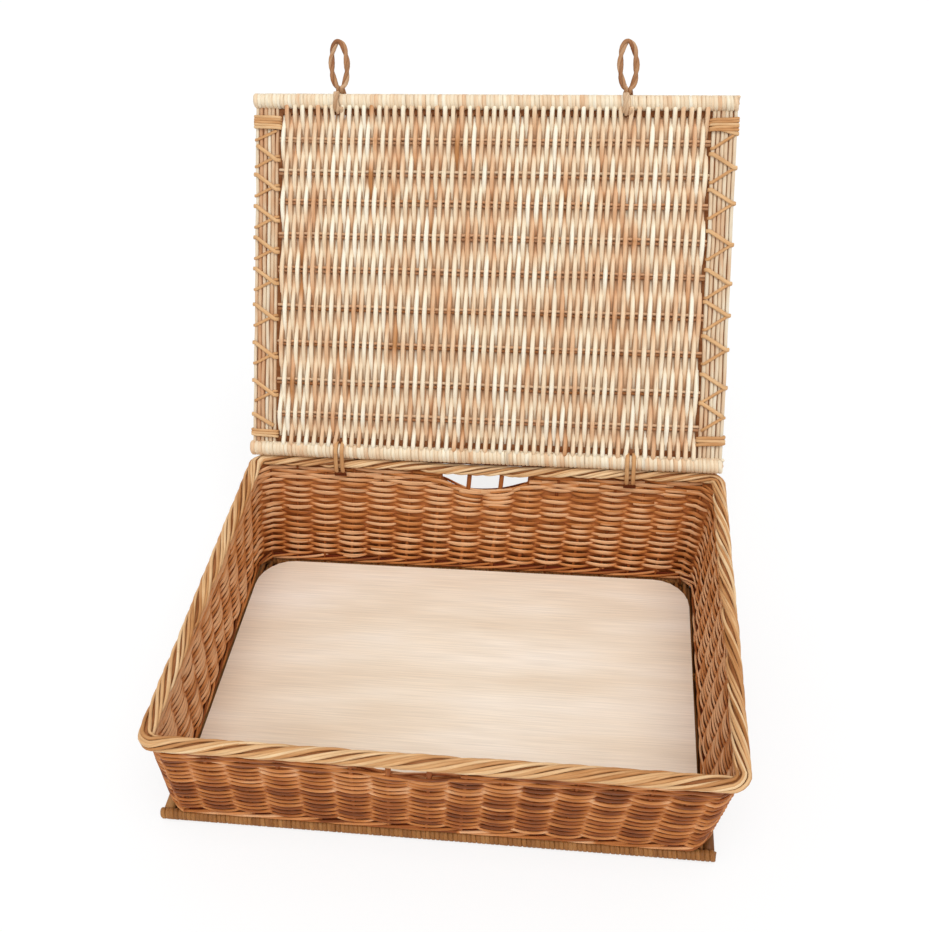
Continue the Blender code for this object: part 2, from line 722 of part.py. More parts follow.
def hinge_ties(parts):
    """Two willow ties, each wound twice round the lid's rear edge and the back border."""
    for word, x in TIE_PLACES:
        first = RIM_SHIFT + x - TIE_STRAND_SPACING / 2
        points = tie_turn(first) + tie_turn(first + TIE_STRAND_SPACING)
        name = f"hinge_tie_{word}"
        tube_object(name, points, TIE_RADIUS, TUBE_RESOLUTION, WILLOW_LACING, parts)
        print_least_gap(name, points, TIE_RADIUS)


def loop_leg(side):
    """The hook of a closure loop round the lid's front edge, from its tip to the neck."""
    wrap = LID_EDGE_RADIUS + FIT_GAP + LOOP_RADIUS
    points = []
    for step in range(LOOP_HOOK_STEPS + 1):
        angle = LOOP_HOOK_START + LOOP_HOOK_TURN * step / LOOP_HOOK_STEPS
        x = side * LOOP_LEG_SPACING / 2
        points.append((x, -wrap * math.cos(angle), wrap * math.sin(angle)))
    return points


def closure_loops(axis, parts):
    """Two twisted willow loops that turn on the lid's front edge stick."""
    bulge = LOOP_LEG_SPACING / LOOP_EYE_WIDTH
    narrow = math.asin(bulge)
    half_length = (LOOP_REACH - LOOP_NECK_REACH) / (1.0 + math.cos(narrow))
    centre = LOOP_REACH - half_length
    for word, place_x, lean in LOOP_PLACES:
        eye = []
        for step in range(LOOP_EYE_STEPS + 1):
            angle = narrow + 2.0 * (math.pi - narrow) * step / LOOP_EYE_STEPS
            reach = centre - half_length * math.cos(angle)
            lean_share = (reach - LOOP_NECK_REACH) / (LOOP_REACH - LOOP_NECK_REACH)
            eye.append((LOOP_EYE_WIDTH / 2 * math.sin(angle) - lean * lean_share, -reach, 0.0))
        points = loop_leg(1.0) + eye + loop_leg(-1.0)[::-1]
        pivot = new_empty(f"closure_loop_{word}_axis", parts, axis, (place_x, -LID_SPAN, 0.0))
        name = f"closure_loop_{word}"
        loop = tube_object(name, points, LOOP_RADIUS, TUBE_RESOLUTION, WILLOW_BROWN, parts)
        place(loop, pivot)


def lid_pieces(parts, cutters):
    """The whole lid, built flat about its hinge axis and turned open with it."""
    opened = -(QUARTER_TURN + LID_LEAN)
    axis = new_empty("lid_hinge_axis", parts, None, (RIM_SHIFT, HINGE_Y, HINGE_Z), (opened, 0.0, 0.0))
    lid_weave(axis, parts, cutters)
    lid_edges(axis, parts)
    lid_side_rods(axis, parts)
    lid_bindings(axis, parts)
    lid_lacing(axis, parts)
    closure_loops(axis, parts)


def main():
    """Build the basket."""
    clear_scene()
    parts = new_collection(OBJECT_NAME)
    cutters = new_collection("cutters")
    base_pieces(parts)
    wall_pieces(parts, cutters)
    border_pieces(parts)
    floor_board(parts)
    lid_pieces(parts, cutters)
    hinge_ties(parts)
    bpy.context.view_layer.update()


main()
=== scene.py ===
"""Woven willow basket with a hinged lid: the rods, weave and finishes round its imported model."""
import math

import bpy
import numpy as np
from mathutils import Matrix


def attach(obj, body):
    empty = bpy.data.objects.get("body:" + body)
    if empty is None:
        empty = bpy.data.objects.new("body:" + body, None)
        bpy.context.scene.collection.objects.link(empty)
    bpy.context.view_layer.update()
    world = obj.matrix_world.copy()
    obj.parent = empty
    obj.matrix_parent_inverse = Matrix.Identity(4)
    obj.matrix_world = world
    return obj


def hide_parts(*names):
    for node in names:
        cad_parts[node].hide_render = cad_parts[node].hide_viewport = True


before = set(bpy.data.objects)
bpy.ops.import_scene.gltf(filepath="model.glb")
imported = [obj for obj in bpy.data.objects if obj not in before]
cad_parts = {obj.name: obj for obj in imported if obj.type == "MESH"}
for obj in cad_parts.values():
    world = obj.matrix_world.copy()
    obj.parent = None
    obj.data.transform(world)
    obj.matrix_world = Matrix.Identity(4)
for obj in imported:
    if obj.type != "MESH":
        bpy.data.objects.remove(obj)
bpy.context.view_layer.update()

bl_info = {
    "name": "Willow basket",
    "version": (1, 0, 0),
    "blender": (4, 5, 0),
    "location": "View3D > Sidebar > Basket",
    "description": "Weaves a hinged willow basket round its packed model",
    "category": "Object",
}

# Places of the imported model, in metres: walls, rim and base, as heights and half sizes
WALL_FOOT = 0.0103
WALL_TOP = 0.1277
WALL_THICKNESS = 0.008
SIDING_FOOT = 0.0196
FOOT_HALF = (0.243, 0.167)
TOP_HALF = (0.247, 0.1895)
RIM_HALF = (0.250, 0.1925)
RIM_SHIFT = 0.013
BORDER_MIDDLE = 0.134
BASE_HALF = (0.245, 0.169)
BASE_MIDDLE = 0.005

# How far before a corner the walls begin to turn, and how far they cut across it instead of rounding it
CORNER_RUN = 0.020
CORNER_FLATNESS = 0.55

# The lid's hinge line, its lean from upright, its length from there and its half widths
LID_AXIS = np.array((0.013, 0.188, 0.1478))
LID_LEAN = math.radians(31.5)
LID_OUT = np.array((0.0, -math.cos(LID_LEAN), math.sin(LID_LEAN)))
LID_SPAN = 0.3625
LID_HALF = 0.246
LID_WEAVE_HALF = 0.218
LID_EDGE_RADIUS = 0.0075

# Distances of the lid's stick pairs from its hinge, as shares of the lid's span
LID_STICK_SHARES = (0.103, 0.200, 0.310, 0.414, 0.524, 0.621, 0.717, 0.800, 0.890)

# Each hand-hole's middle across the basket, its depth and half its width, and its bare stakes
HANDHOLES = {"front": (-0.008, 0.0155, 0.048), "back": (0.0165, 0.0190, 0.048)}
HANDHOLE_STAKE_SPACING = 0.034
HANDHOLE_STAKE_RADIUS = 0.0024

# How far the rim sags over the back hand-hole
BORDER_SAG = 0.0030

# The hinge ties' places across the basket; the loops' places across the lid and their eyes' lean aside
TIES = {"left": -0.138, "right": 0.166}
LOOPS = {"left": (-0.157, 0.0025), "right": (0.137, 0.0015)}

SIDES = ("front", "right", "back", "left")
UP = (0.0, 0.0, 1.0)

# A rod's ends stand out by this share of its depth, and its flanks are darkened this much with painted shade
TIP_SHARE = 0.4
FLANK_PAINTED_SHADE = 0.1

# Grains start anywhere within this length, in metres, so that no two rods look alike
GRAIN_SPREAD = 50.0


def linear(hex_colour):
    """A linear colour from an sRGB hex value."""
    values = [int(hex_colour[start:start + 2], 16) / 255.0 for start in (0, 2, 4)]
    return tuple(v / 12.92 if v <= 0.04045 else ((v + 0.055) / 1.055) ** 2.4 for v in values)


def unit(vectors):
    """Vectors of length one."""
    vectors = np.asarray(vectors, float)
    return vectors / np.maximum(np.linalg.norm(vectors, axis=-1, keepdims=True), 1e-12)


def smooth_step(values):
    """A ramp from 0 to 1 with soft ends."""
    values = np.clip(values, 0.0, 1.0)
    return values * values * (3.0 - 2.0 * values)


def lengths_along(path):
    """Distances along a path from its start."""
    steps = np.linalg.norm(np.diff(path, axis=0), axis=1)
    return np.concatenate(([0.0], np.cumsum(steps)))


class RodBundle:
    """Rods gathered for one piece, each with its own shade and grain."""

    def __init__(self, seed, sides=8):
        self.random = np.random.default_rng(seed)
        self.sides = sides
        self.points = []
        self.faces = []
        self.shades = []
        self.painted_shades = []
        self.grains = []
        self.count = 0

    def add(self, path, outward, height, depth, shade=None, closed=False, sway=None, shadow=0.0):
        """Add an oval rod along a path.

        Height is across the outward direction and depth along it. Sway tells how far out the rod lies
        at each point, from -1 to 1: its sides that face the weave's middle there are darkened with painted
        shade, and a shadow adds painted shade all round.
        """
        path = np.asarray(path, float)
        number = len(path)
        height = np.broadcast_to(height, number)
        depth = np.broadcast_to(depth, number)
        if closed:
            tangent = unit(np.roll(path, -1, 0) - np.roll(path, 1, 0))
        else:
            tangent = unit(np.gradient(path, axis=0))
        across = unit(np.cross(tangent, outward))
        outward = np.cross(across, tangent)
        angle = 2.0 * math.pi * np.arange(self.sides) / self.sides
        up = height[:, None] * np.cos(angle)
        out = depth[:, None] * np.sin(angle)
        rings = path[:, None, :] + up[..., None] * across[:, None, :] + out[..., None] * outward[:, None, :]
        along = lengths_along(path) + self.random.uniform(0.0, GRAIN_SPREAD)
        grain = np.stack((np.broadcast_to(along[:, None], up.shape), up, out), axis=-1)
        if shade is None:
            shade = self.random.uniform()
        shade = np.broadcast_to(shade, number)
        sway = np.zeros(number) if sway is None else sway
        painted_shade = FLANK_PAINTED_SHADE - np.sin(angle) * sway[:, None] + np.reshape(shadow, (-1, 1))
        tips = (
            path[0] - tangent[0] * TIP_SHARE * depth[0],
            path[-1] + tangent[-1] * TIP_SHARE * depth[-1],
        )
        self.add_rings(rings, grain, shade, np.clip(painted_shade, 0.0, 1.0), None if closed else tips)

    def add_slab(self, edges, shade, painted_shade, along=None):
        """Add a thin slab by the lines of its four long edges, with its grain along given lengths."""
        rings = np.stack(edges, axis=1)
        number = len(rings)
        grain = rings
        if along is not None:
            lengths = np.repeat(along[:, None], 4, axis=1)
            grain = np.stack((lengths, rings[..., 2], rings[..., 2] * 0.0), axis=-1)
        tips = (rings[0].mean(axis=0), rings[-1].mean(axis=0))
        self.add_rings(rings, grain, np.full(number, shade), np.full((number, 4), painted_shade), tips)

    def add_rings(self, rings, grain, shade, painted_shade, tips=None):
        """Add a skin over rings of points, closed to a loop unless its two tips are given."""
        number, sides = rings.shape[:2]
        last = number if tips is None else number - 1
        ring = np.arange(last)[:, None] * sides
        following = (np.arange(1, last + 1) % number)[:, None] * sides
        side = np.arange(sides)[None, :]
        beside = (side + 1) % sides
        quads = np.stack((ring + side, following + side, following + beside, ring + beside), axis=-1)
        self.faces.extend((quads.reshape(-1, 4) + self.count).tolist())
        self.points.append(rings.reshape(-1, 3))
        self.grains.append(grain.reshape(-1, 3))
        self.shades.append(np.repeat(shade, sides))
        self.painted_shades.append(painted_shade.reshape(-1))
        first, self.count = self.count, self.count + number * sides
        for index, tip in zip((0, number - 1), () if tips is None else tips):
            start = first + index * sides
            for j in range(sides):
                pair = (start + j, start + (j + 1) % sides)
                self.faces.append([self.count, *(pair[::-1] if index else pair)])
            self.points.append(tip[None, :])
            self.grains.append(grain[index].mean(axis=0)[None, :])
            self.shades.append(shade[index:index + 1])
            self.painted_shades.append(painted_shade[index, :1])
            self.count += 1

    def build(self, name, finish, body, slot, replaced=()):
        """Make the piece, with its rods' shades, painted shade and grain, and let it stand for nodes on a
        body.
        """
        mesh = bpy.data.meshes.new(name)
        mesh.from_pydata(np.concatenate(self.points).tolist(), [], self.faces)
        mesh.shade_smooth()
        for attribute, kind, key, values in (
            ("rod_shade", "FLOAT", "value", self.shades),
            ("rod_painted_shade", "FLOAT", "value", self.painted_shades),
            ("rod_grain", "FLOAT_VECTOR", "vector", self.grains),
        ):
            data = mesh.attributes.new(attribute, kind, "POINT").data
            data.foreach_set(key, np.concatenate(values).astype(np.float32).ravel())
        mesh.materials.append(material_of(finish))
        piece = bpy.data.objects.new(name, mesh)
        bpy.context.scene.collection.objects.link(piece)
        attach(piece, body)
        if replaced:
            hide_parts(*replaced)


# Materials

def find_socket(node, key):
    """A node's input by its number, as in i0, or by its name."""
    if key[0] == "i" and key[1:].isdigit():
        return node.inputs[int(key[1:])]
    return node.inputs[key.replace("_", " ")]


def add_node(tree, kind, settings=None, **inputs):
    """Add a node, set its properties and fill or link its inputs."""
    node = tree.nodes.new(kind)
    for key, value in (settings or {}).items():
        setattr(node, key, value)
    for key, value in inputs.items():
        socket = find_socket(node, key)
        if isinstance(value, bpy.types.NodeSocket):
            tree.links.new(value, socket)
        else:
            socket.default_value = value
    return node


def calculate(tree, operation, *values, clamp=False):
    """A calculation with outputs and numbers."""
    settings = {"operation": operation, "use_clamp": clamp}
    inputs = {f"i{index}": value for index, value in enumerate(values)}
    return add_node(tree, "ShaderNodeMath", settings, **inputs).outputs[0]


def colour_ramp(tree, factor, stops):
    """A colour ramp through hex colours at given places."""
    node = add_node(tree, "ShaderNodeValToRGB", i0=factor)
    ramp = node.color_ramp
    while len(ramp.elements) < len(stops):
        ramp.elements.new(0.5)
    for element, (place, colour) in zip(ramp.elements, stops):
        element.position = place
        element.color = (*linear(colour), 1.0)
    return node.outputs["Color"]


def value_ramp(tree, factor, low, high, start=0.0, end=1.0):
    """A value that runs from start to end while the factor goes from low to high."""
    return add_node(tree, "ShaderNodeMapRange", None, i0=factor, i1=low, i2=high, i3=start, i4=end).outputs[0]


def mix_colour(tree, factor, first, second, blend="MIX"):
    """Two colours mixed."""
    settings = {"data_type": "RGBA", "blend_type": blend}
    return add_node(tree, "ShaderNodeMix", settings, i0=factor, i6=first, i7=second).outputs[2]


def stretched_noise(tree, place, scale, detail):
    """Noise over places that are first stretched along each axis."""
    stretched = add_node(tree, "ShaderNodeMapping", None, Vector=place, Scale=scale).outputs[0]
    noise = add_node(tree, "ShaderNodeTexNoise", None, Vector=stretched, Scale=1.0, Detail=detail)
    return noise.outputs["Fac"]


def finish_shader(tree, shader, colour, height, strength, distance):
    """Link the colour and a fine relief to a shader."""
    tree.links.new(colour, shader.inputs["Base Color"])
    bump = add_node(tree, "ShaderNodeBump", None, Strength=strength, Distance=distance, Height=height)
    tree.links.new(bump.outputs[0], shader.inputs["Normal"])


def new_material(name):
    """A new node material, its tree and its shader."""
    material = bpy.data.materials.new(name)
    material.use_nodes = True
    tree = material.node_tree
    return material, tree, tree.nodes["Principled BSDF"]


def willow_material(name, stops, streak, roughness, shadow="9A6038", depth=0.9):
    """Peeled willow: a satin bast surface, streaked along each rod, every rod a little different."""
    material, tree, shader = new_material(name)
    shade, grain, painted_shade = (
        add_node(tree, "ShaderNodeAttribute", {"attribute_name": attribute}).outputs[output]
        for attribute, output in (("rod_shade", "Fac"), ("rod_grain", "Vector"), ("rod_painted_shade", "Fac"))
    )
    # Streaks about 0.9 mm wide and 20 mm long, blotches about 25 mm long, dark leaf scars now and then
    fine = stretched_noise(tree, grain, (50.0, 1100.0, 1100.0), 3.0)
    broad = stretched_noise(tree, grain, (40.0, 160.0, 160.0), 2.0)
    scars = stretched_noise(tree, grain, (26.0, 260.0, 260.0), 1.0)
    blotch = calculate(tree, "MULTIPLY_ADD", broad, 0.7, -0.35)
    colour = colour_ramp(tree, calculate(tree, "ADD", shade, blotch, clamp=True), stops)
    streaks = value_ramp(tree, fine, 0.25, 0.75, 1.0 - streak, 1.0 + streak * 0.6)
    colour = mix_colour(tree, 1.0, colour, streaks, "MULTIPLY")
    # Painted shade: rods are darker where they turn to the weave's shaded inside, and duller there
    deep = value_ramp(tree, painted_shade, 0.05, 0.75, 0.0, depth)
    shaded = mix_colour(tree, 1.0, colour, (*linear(shadow), 1.0), "MULTIPLY")
    colour = mix_colour(tree, deep, colour, shaded)
    scar = value_ramp(tree, scars, 0.70, 0.76, 0.0, 0.35)
    colour = mix_colour(tree, scar, colour, (*linear("5A2F16"), 1.0))
    satin = value_ramp(tree, fine, 0.2, 0.8, roughness - 0.08, roughness + 0.1)
    rough = calculate(tree, "MULTIPLY_ADD", painted_shade, 0.4, satin, clamp=True)
    tree.links.new(rough, shader.inputs["Roughness"])
    shader.inputs["Specular IOR Level"].default_value = 0.22
    shader.inputs["IOR"].default_value = 1.5
    finish_shader(tree, shader, colour, fine, 0.5, 0.00015)
    return material


def siding_willow():
    """Boiled willow of the walls: warm orange brown, some rods redder and some paler."""
    stops = ((0.0, "7A3F16"), (0.25, "9E5826"), (0.5, "BE763A"), (0.75, "D38E55"), (1.0, "E8B383"))
    return willow_material("boiled_willow_siding", stops, 0.22, 0.5, "AC6C3C")


def border_willow():
    """Pale peeled willow of the rim: cream to light tan."""
    stops = ((0.0, "A0652F"), (0.3, "C68F5A"), (0.6, "DBAE7B"), (1.0, "EFCFA2"))
    return willow_material("peeled_willow_border", stops, 0.18, 0.48)


def lid_willow():
    """Pale peeled willow of the lid: cream, tan and a little pink."""
    stops = (
        (0.0, "BA814E"), (0.2, "D9A67B"), (0.42, "E5BF98"),
        (0.62, "EFD7B6"), (0.85, "F6E8CD"), (1.0, "FAF1DC"),
    )
    return willow_material("peeled_willow_lid", stops, 0.16, 0.48, "9C7E62", 0.95)


def base_willow():
    """Willow wound round the base's edge: tan and orange."""
    stops = ((0.0, "70451F"), (0.4, "8E5C2E"), (0.7, "A26E3B"), (1.0, "BC8C56"))
    return willow_material("wound_willow_base", stops, 0.22, 0.5)


def loop_willow():
    """Twisted willow with some bark left: grey brown with beige where it is peeled."""
    stops = ((0.0, "74452A"), (0.4, "9A6742"), (0.7, "B98A62"), (1.0, "D9B894"))
    return willow_material("twisted_willow_loop", stops, 0.35, 0.55)


def birch_plywood():
    """Birch plywood: very pale, with faint long grain along the board."""
    material, tree, shader = new_material("birch_plywood")
    place = add_node(tree, "ShaderNodeTexCoord").outputs["Object"]
    # Grain streaks about 1.3 mm wide and 60 mm long, with slow changes of tone over 80 mm
    fine = stretched_noise(tree, place, (16.0, 750.0, 300.0), 4.0)
    broad = stretched_noise(tree, place, (5.0, 26.0, 20.0), 2.0)
    colour = colour_ramp(tree, broad, ((0.15, "DFC9AE"), (0.5, "EEDFCB"), (0.85, "F9F0E4")))
    streaks = value_ramp(tree, fine, 0.3, 0.7, 0.89, 1.05)
    shader.inputs["Roughness"].default_value = 0.62
    finish_shader(tree, shader, mix_colour(tree, 1.0, colour, streaks, "MULTIPLY"), fine, 0.3, 0.0001)
    return material


def studio_paper():
    """Matt white studio paper of the floor, which the camera sees three quarters lit."""
    material, tree, shader = new_material("studio_paper")
    shader.inputs["Base Color"].default_value = (*linear("FCFCFC"), 1.0)
    shader.inputs["Roughness"].default_value = 0.9
    shader.inputs["Specular IOR Level"].default_value = 0.1
    ray = add_node(tree, "ShaderNodeLightPath")
    lit = calculate(tree, "MULTIPLY", ray.outputs["Is Camera Ray"], 0.75)
    white = add_node(tree, "ShaderNodeEmission", None, Color=(1.0, 1.0, 1.0, 1.0), Strength=1.0)
    mix = add_node(tree, "ShaderNodeMixShader", None, i0=lit, i1=shader.outputs[0], i2=white.outputs[0])
    tree.links.new(mix.outputs[0], tree.nodes["Material Output"].inputs["Surface"])
    return material


MATERIALS = {}


def material_of(finish):
    """The material that a finish function makes, made once."""
    if finish.__name__ not in MATERIALS:
        MATERIALS[finish.__name__] = finish()
    return MATERIALS[finish.__name__]


# The outlines of walls and rim, measured along from the front's left end on

def outline_points(half, run, shift, segments, shares):
    """Points and outward directions of a rounded outline, by its eight segments and shares of them."""
    half_x, half_y = half
    corners = np.array((
        (-half_x + run, -half_y), (half_x - run, -half_y), (half_x, -half_y + run), (half_x, half_y - run),
        (half_x - run, half_y), (-half_x + run, half_y), (-half_x, half_y - run), (-half_x, -half_y + run),
    ))
    centres = np.array((
        (half_x - run, -half_y + run), (half_x - run, half_y - run),
        (-half_x + run, half_y - run), (-half_x + run, -half_y + run),
    ))
    points = np.zeros((len(segments), 2))
    outward = np.zeros((len(segments), 2))
    for index, (segment, share) in enumerate(zip(segments, shares)):
        quarter = segment // 2
        start, end = corners[segment], corners[(segment + 1) % 8]
        points[index] = start + (end - start) * share
        angle = math.pi / 2 * (quarter - 1)
        if segment % 2:
            angle += math.pi / 2 * share
        outward[index] = (math.cos(angle), math.sin(angle))
        if segment % 2:
            arc = centres[quarter] + run * outward[index]
            points[index] = arc + (points[index] - arc) * CORNER_FLATNESS
    points[:, 0] += shift
    return points, outward


class Outline:
    """A rounded outline: eight segments, each a straight side or a corner."""

    def __init__(self, half, run):
        corner = math.pi / 2 * run
        self.half = half
        self.run = run
        self.lengths = np.array([2 * (half[0] - run), corner, 2 * (half[1] - run), corner] * 2)
        self.starts = np.concatenate(([0.0], np.cumsum(self.lengths)))
        self.total = self.starts[-1]

    def segments(self, places):
        """The segment and the share of it for distances along the outline."""
        numbers = np.clip(np.searchsorted(self.starts, places, side="right") - 1, 0, 7)
        return numbers, (places - self.starts[numbers]) / self.lengths[numbers]

    def points(self, places):
        """Points, outward directions and segments for distances along the outline."""
        numbers, shares = self.segments(places % self.total)
        return *outline_points(self.half, self.run, RIM_SHIFT, numbers, shares), numbers


# Points along a row of the walls from one stake to the next
POINTS_PER_STAKE = 7


class WallRing(Outline):
    """The walls' stakes and the way along them, as points at the foot and at the top."""

    def __init__(self, spacing):
        super().__init__(TOP_HALF, CORNER_RUN)
        front, back = self.handhole_place("front"), self.handhole_place("back")
        apart = HANDHOLE_STAKE_SPACING / 2
        stakes = []
        for start, end in ((front + apart, back - apart), (back + apart, front + self.total - apart)):
            number = round((end - start) / spacing)
            stakes.extend(start + (end - start) * np.arange(number + 1) / number)
        self.stakes = np.sort(np.array(stakes) % self.total)
        self.count = len(self.stakes)
        if self.count % 2:
            raise RuntimeError("rows over and under close only round an even number of stakes")

    def handhole_place(self, name):
        """Distance along the rim of a hand-hole's middle."""
        segment = 0 if name == "front" else 4
        offset = HANDHOLES[name][0] - RIM_SHIFT
        return self.starts[segment] + self.lengths[segment] / 2 + (offset if name == "front" else -offset)

    def places(self, stake_numbers):
        """Distances along the rim for stake numbers, which may lie between stakes and run past the end."""
        lap = np.floor(stake_numbers / self.count)
        known = np.concatenate((self.stakes, [self.stakes[0] + self.total]))
        inside = stake_numbers - lap * self.count
        return np.interp(inside, np.arange(self.count + 1), known) % self.total

    def span(self, quarter):
        """Close stake numbers along one side, from the end of the corner before it to its own corner."""
        known = np.concatenate(([self.stakes[-1] - self.total], self.stakes, [self.stakes[0] + self.total]))
        sides = self.starts[[2 * quarter, 2 * quarter + 2]]
        low, high = np.interp(sides, known, np.arange(-1, self.count + 1))
        return np.linspace(low, high, int((high - low) * POINTS_PER_STAKE) + 1)

    def upright(self, places):
        """Foot points, top points, outward directions and segments for distances along the rim."""
        numbers, shares = self.segments(places)
        foot, outward = outline_points(FOOT_HALF, CORNER_RUN, 0.0, numbers, shares)
        top, outward = outline_points(TOP_HALF, CORNER_RUN, RIM_SHIFT, numbers, shares)
        return foot, top, outward, numbers


def wall_points(foot, top, outward, heights, depths=0.0):
    """Points on the walls at heights, and depths out from the middle of their thickness."""
    number = np.broadcast(heights, foot[..., 0]).shape
    heights, depths = np.broadcast_to(heights, number), np.broadcast_to(depths, number)
    share = ((heights - WALL_FOOT) / (WALL_TOP - WALL_FOOT))[:, None]
    flat = foot + (top - foot) * share + outward * (depths - WALL_THICKNESS / 2)[:, None]
    return np.column_stack((flat, heights))


def level(outward):
    """Directions on the ground as directions in space."""
    return np.column_stack((outward, np.zeros(len(outward))))


def handhole_dip(places, ring):
    """How far the walls' top row dips at the two hand-holes."""
    dips = np.zeros(len(places))
    for name, (_, depth, half_width) in HANDHOLES.items():
        share = np.clip(1.0 - ((places - ring.handhole_place(name)) / half_width) ** 2, 0.0, 1.0)
        dips = np.maximum(dips, depth * np.sqrt(share))
    return dips


def length_property(name, description, default):
    """A length of the basket, in metres."""
    return bpy.props.FloatProperty(name=name, description=description, default=default, unit="LENGTH")


def number_property(name, description, default):
    """A number of the basket's rods."""
    return bpy.props.IntProperty(name=name, description=description, default=default)


class BasketSizes(bpy.types.PropertyGroup):
    """Sizes and counts of the basket's rods."""

    stake_spacing: length_property("Stake spacing", "Distance between the walls' stakes", 0.0304)
    stake_radius: length_property("Stake radius", "Half the thickness of a stake", 0.0018)
    siding_rows: number_property("Siding rows", "Number of woven rows above the foot", 30)
    cut_rows: number_property("Cut rows", "Number of top rows that stop at the hand-holes", 2)
    wale_rows: number_property("Wale rows", "Number of top rows that pass two stakes at a time", 4)
    siding_swing: length_property("Siding swing", "How far a row swings round a stake", 0.0026)
    upsett_radius: length_property("Foot rod radius", "Half a foot rod's thickness", 0.0015)
    border_strands: number_property("Border strands", "Number of strands that turn down into the rim", 150)
    border_radius: length_property("Border strand radius", "Half a strand's thickness", 0.0017)
    border_reach: length_property("Strand length", "How far along the rim a strand runs", 0.125)
    lid_weavers: number_property("Lid weavers", "Number of rods woven across the lid", 106)
    lid_swing: length_property("Lid swing", "How far a weaver swings round a stick", 0.0031)
    side_rods: number_property("Side rods", "Number of stiff rods at each side of the lid", 6)


# Walls

# Half a siding rod's height and depth, and what its height gains outside and inside a stake
SIDING_HEIGHT = 0.00160
SIDING_OUTER_HEIGHT = 0.00018
SIDING_INNER_HEIGHT = 0.00080
SIDING_DEPTH = 0.00112

# How unevenly a row lies, and how much it slopes past a stake
ROW_WOBBLE = 0.00065
ROW_TILT = 0.00045

# Painted shade and light: how much darker a rod is painted where it passes outside the stakes, and paler
# where it passes inside
SIDING_OUTSIDE_PAINTED_SHADE = 0.38

# A row's rods pass at least 8 stakes and fewer than 18, and run on past the last one, in stakes
SHORTEST_ROD = 8
ROD_LIMIT = 18
ROD_OVERRUN = 0.42

# Where two rods lap: from how far before the stake, over how much of a stake's distance, and how far
# the one lies above the other and both lie nearer the wall's middle
LAP_START = 0.6
LAP_RAMP = 0.9
LAP_LIFT = 0.0010
LAP_DEPTH = 0.0005

# How thick a siding rod is beside the mean, from the thinnest to the thickest, and its taper at a lap
ROD_SPREAD = (0.86, 1.12)
LAP_TAPER = 0.25

# How far under a hand-hole's edge the nearest row lies, and how close the rows press together there
LIP_GAP = 0.0014
LIP_PITCH = 0.0023

# How far a stake goes down into the base and up into the border
STAKE_BELOW = 0.006
STAKE_ABOVE = 0.002

# Half the thickness of the dark sheet of painted shade in the wall's middle, and how far it stays from the
# foot and the hand-holes
SHADE_SHEET_HALF = 0.0002
SHADE_SHEET_FOOT_GAP = 0.002
SHADE_SHEET_LIP_GAP = 0.0010


def row_heights(ring, places, row, sizes):
    """Heights of a row, and where it runs: it goes round under the hand-holes or stops at them."""
    pitch = (WALL_TOP - SIDING_FOOT) / sizes.siding_rows
    row_height = SIDING_FOOT + pitch * (row + 0.5)
    edge = WALL_TOP - handhole_dip(places, ring)
    rank = sizes.siding_rows - 1 - sizes.cut_rows - row
    if rank < 0:
        return np.full(len(places), row_height), row_height < edge + pitch / 2
    heights = np.minimum(row_height, edge - LIP_GAP - rank * LIP_PITCH)
    kernel = np.hanning(POINTS_PER_STAKE + 2)[1:-1]
    padded = np.pad(heights, POINTS_PER_STAKE // 2, mode="edge")
    return np.convolve(padded, kernel / kernel.sum(), "valid"), np.ones(len(places), bool)


def runs(mask):
    """Start and end of each unbroken run in a mask."""
    edges = np.flatnonzero(np.diff(np.concatenate(([0], mask.astype(int), [0]))))
    return zip(edges[::2], edges[1::2])


def rod_ends(ring, random, reach, offset):
    """Stake numbers at which the rods of a row begin and end."""
    first = random.integers(0, ring.count // reach) * reach + offset
    ends = [first]
    while ends[-1] < first + ring.count:
        ends.append(ends[-1] + reach * random.integers(SHORTEST_ROD // reach, ROD_LIMIT // reach))
    ends[-1] = first + ring.count
    if ends[-1] - ends[-2] < reach:
        ends.pop(-2)
    return ends


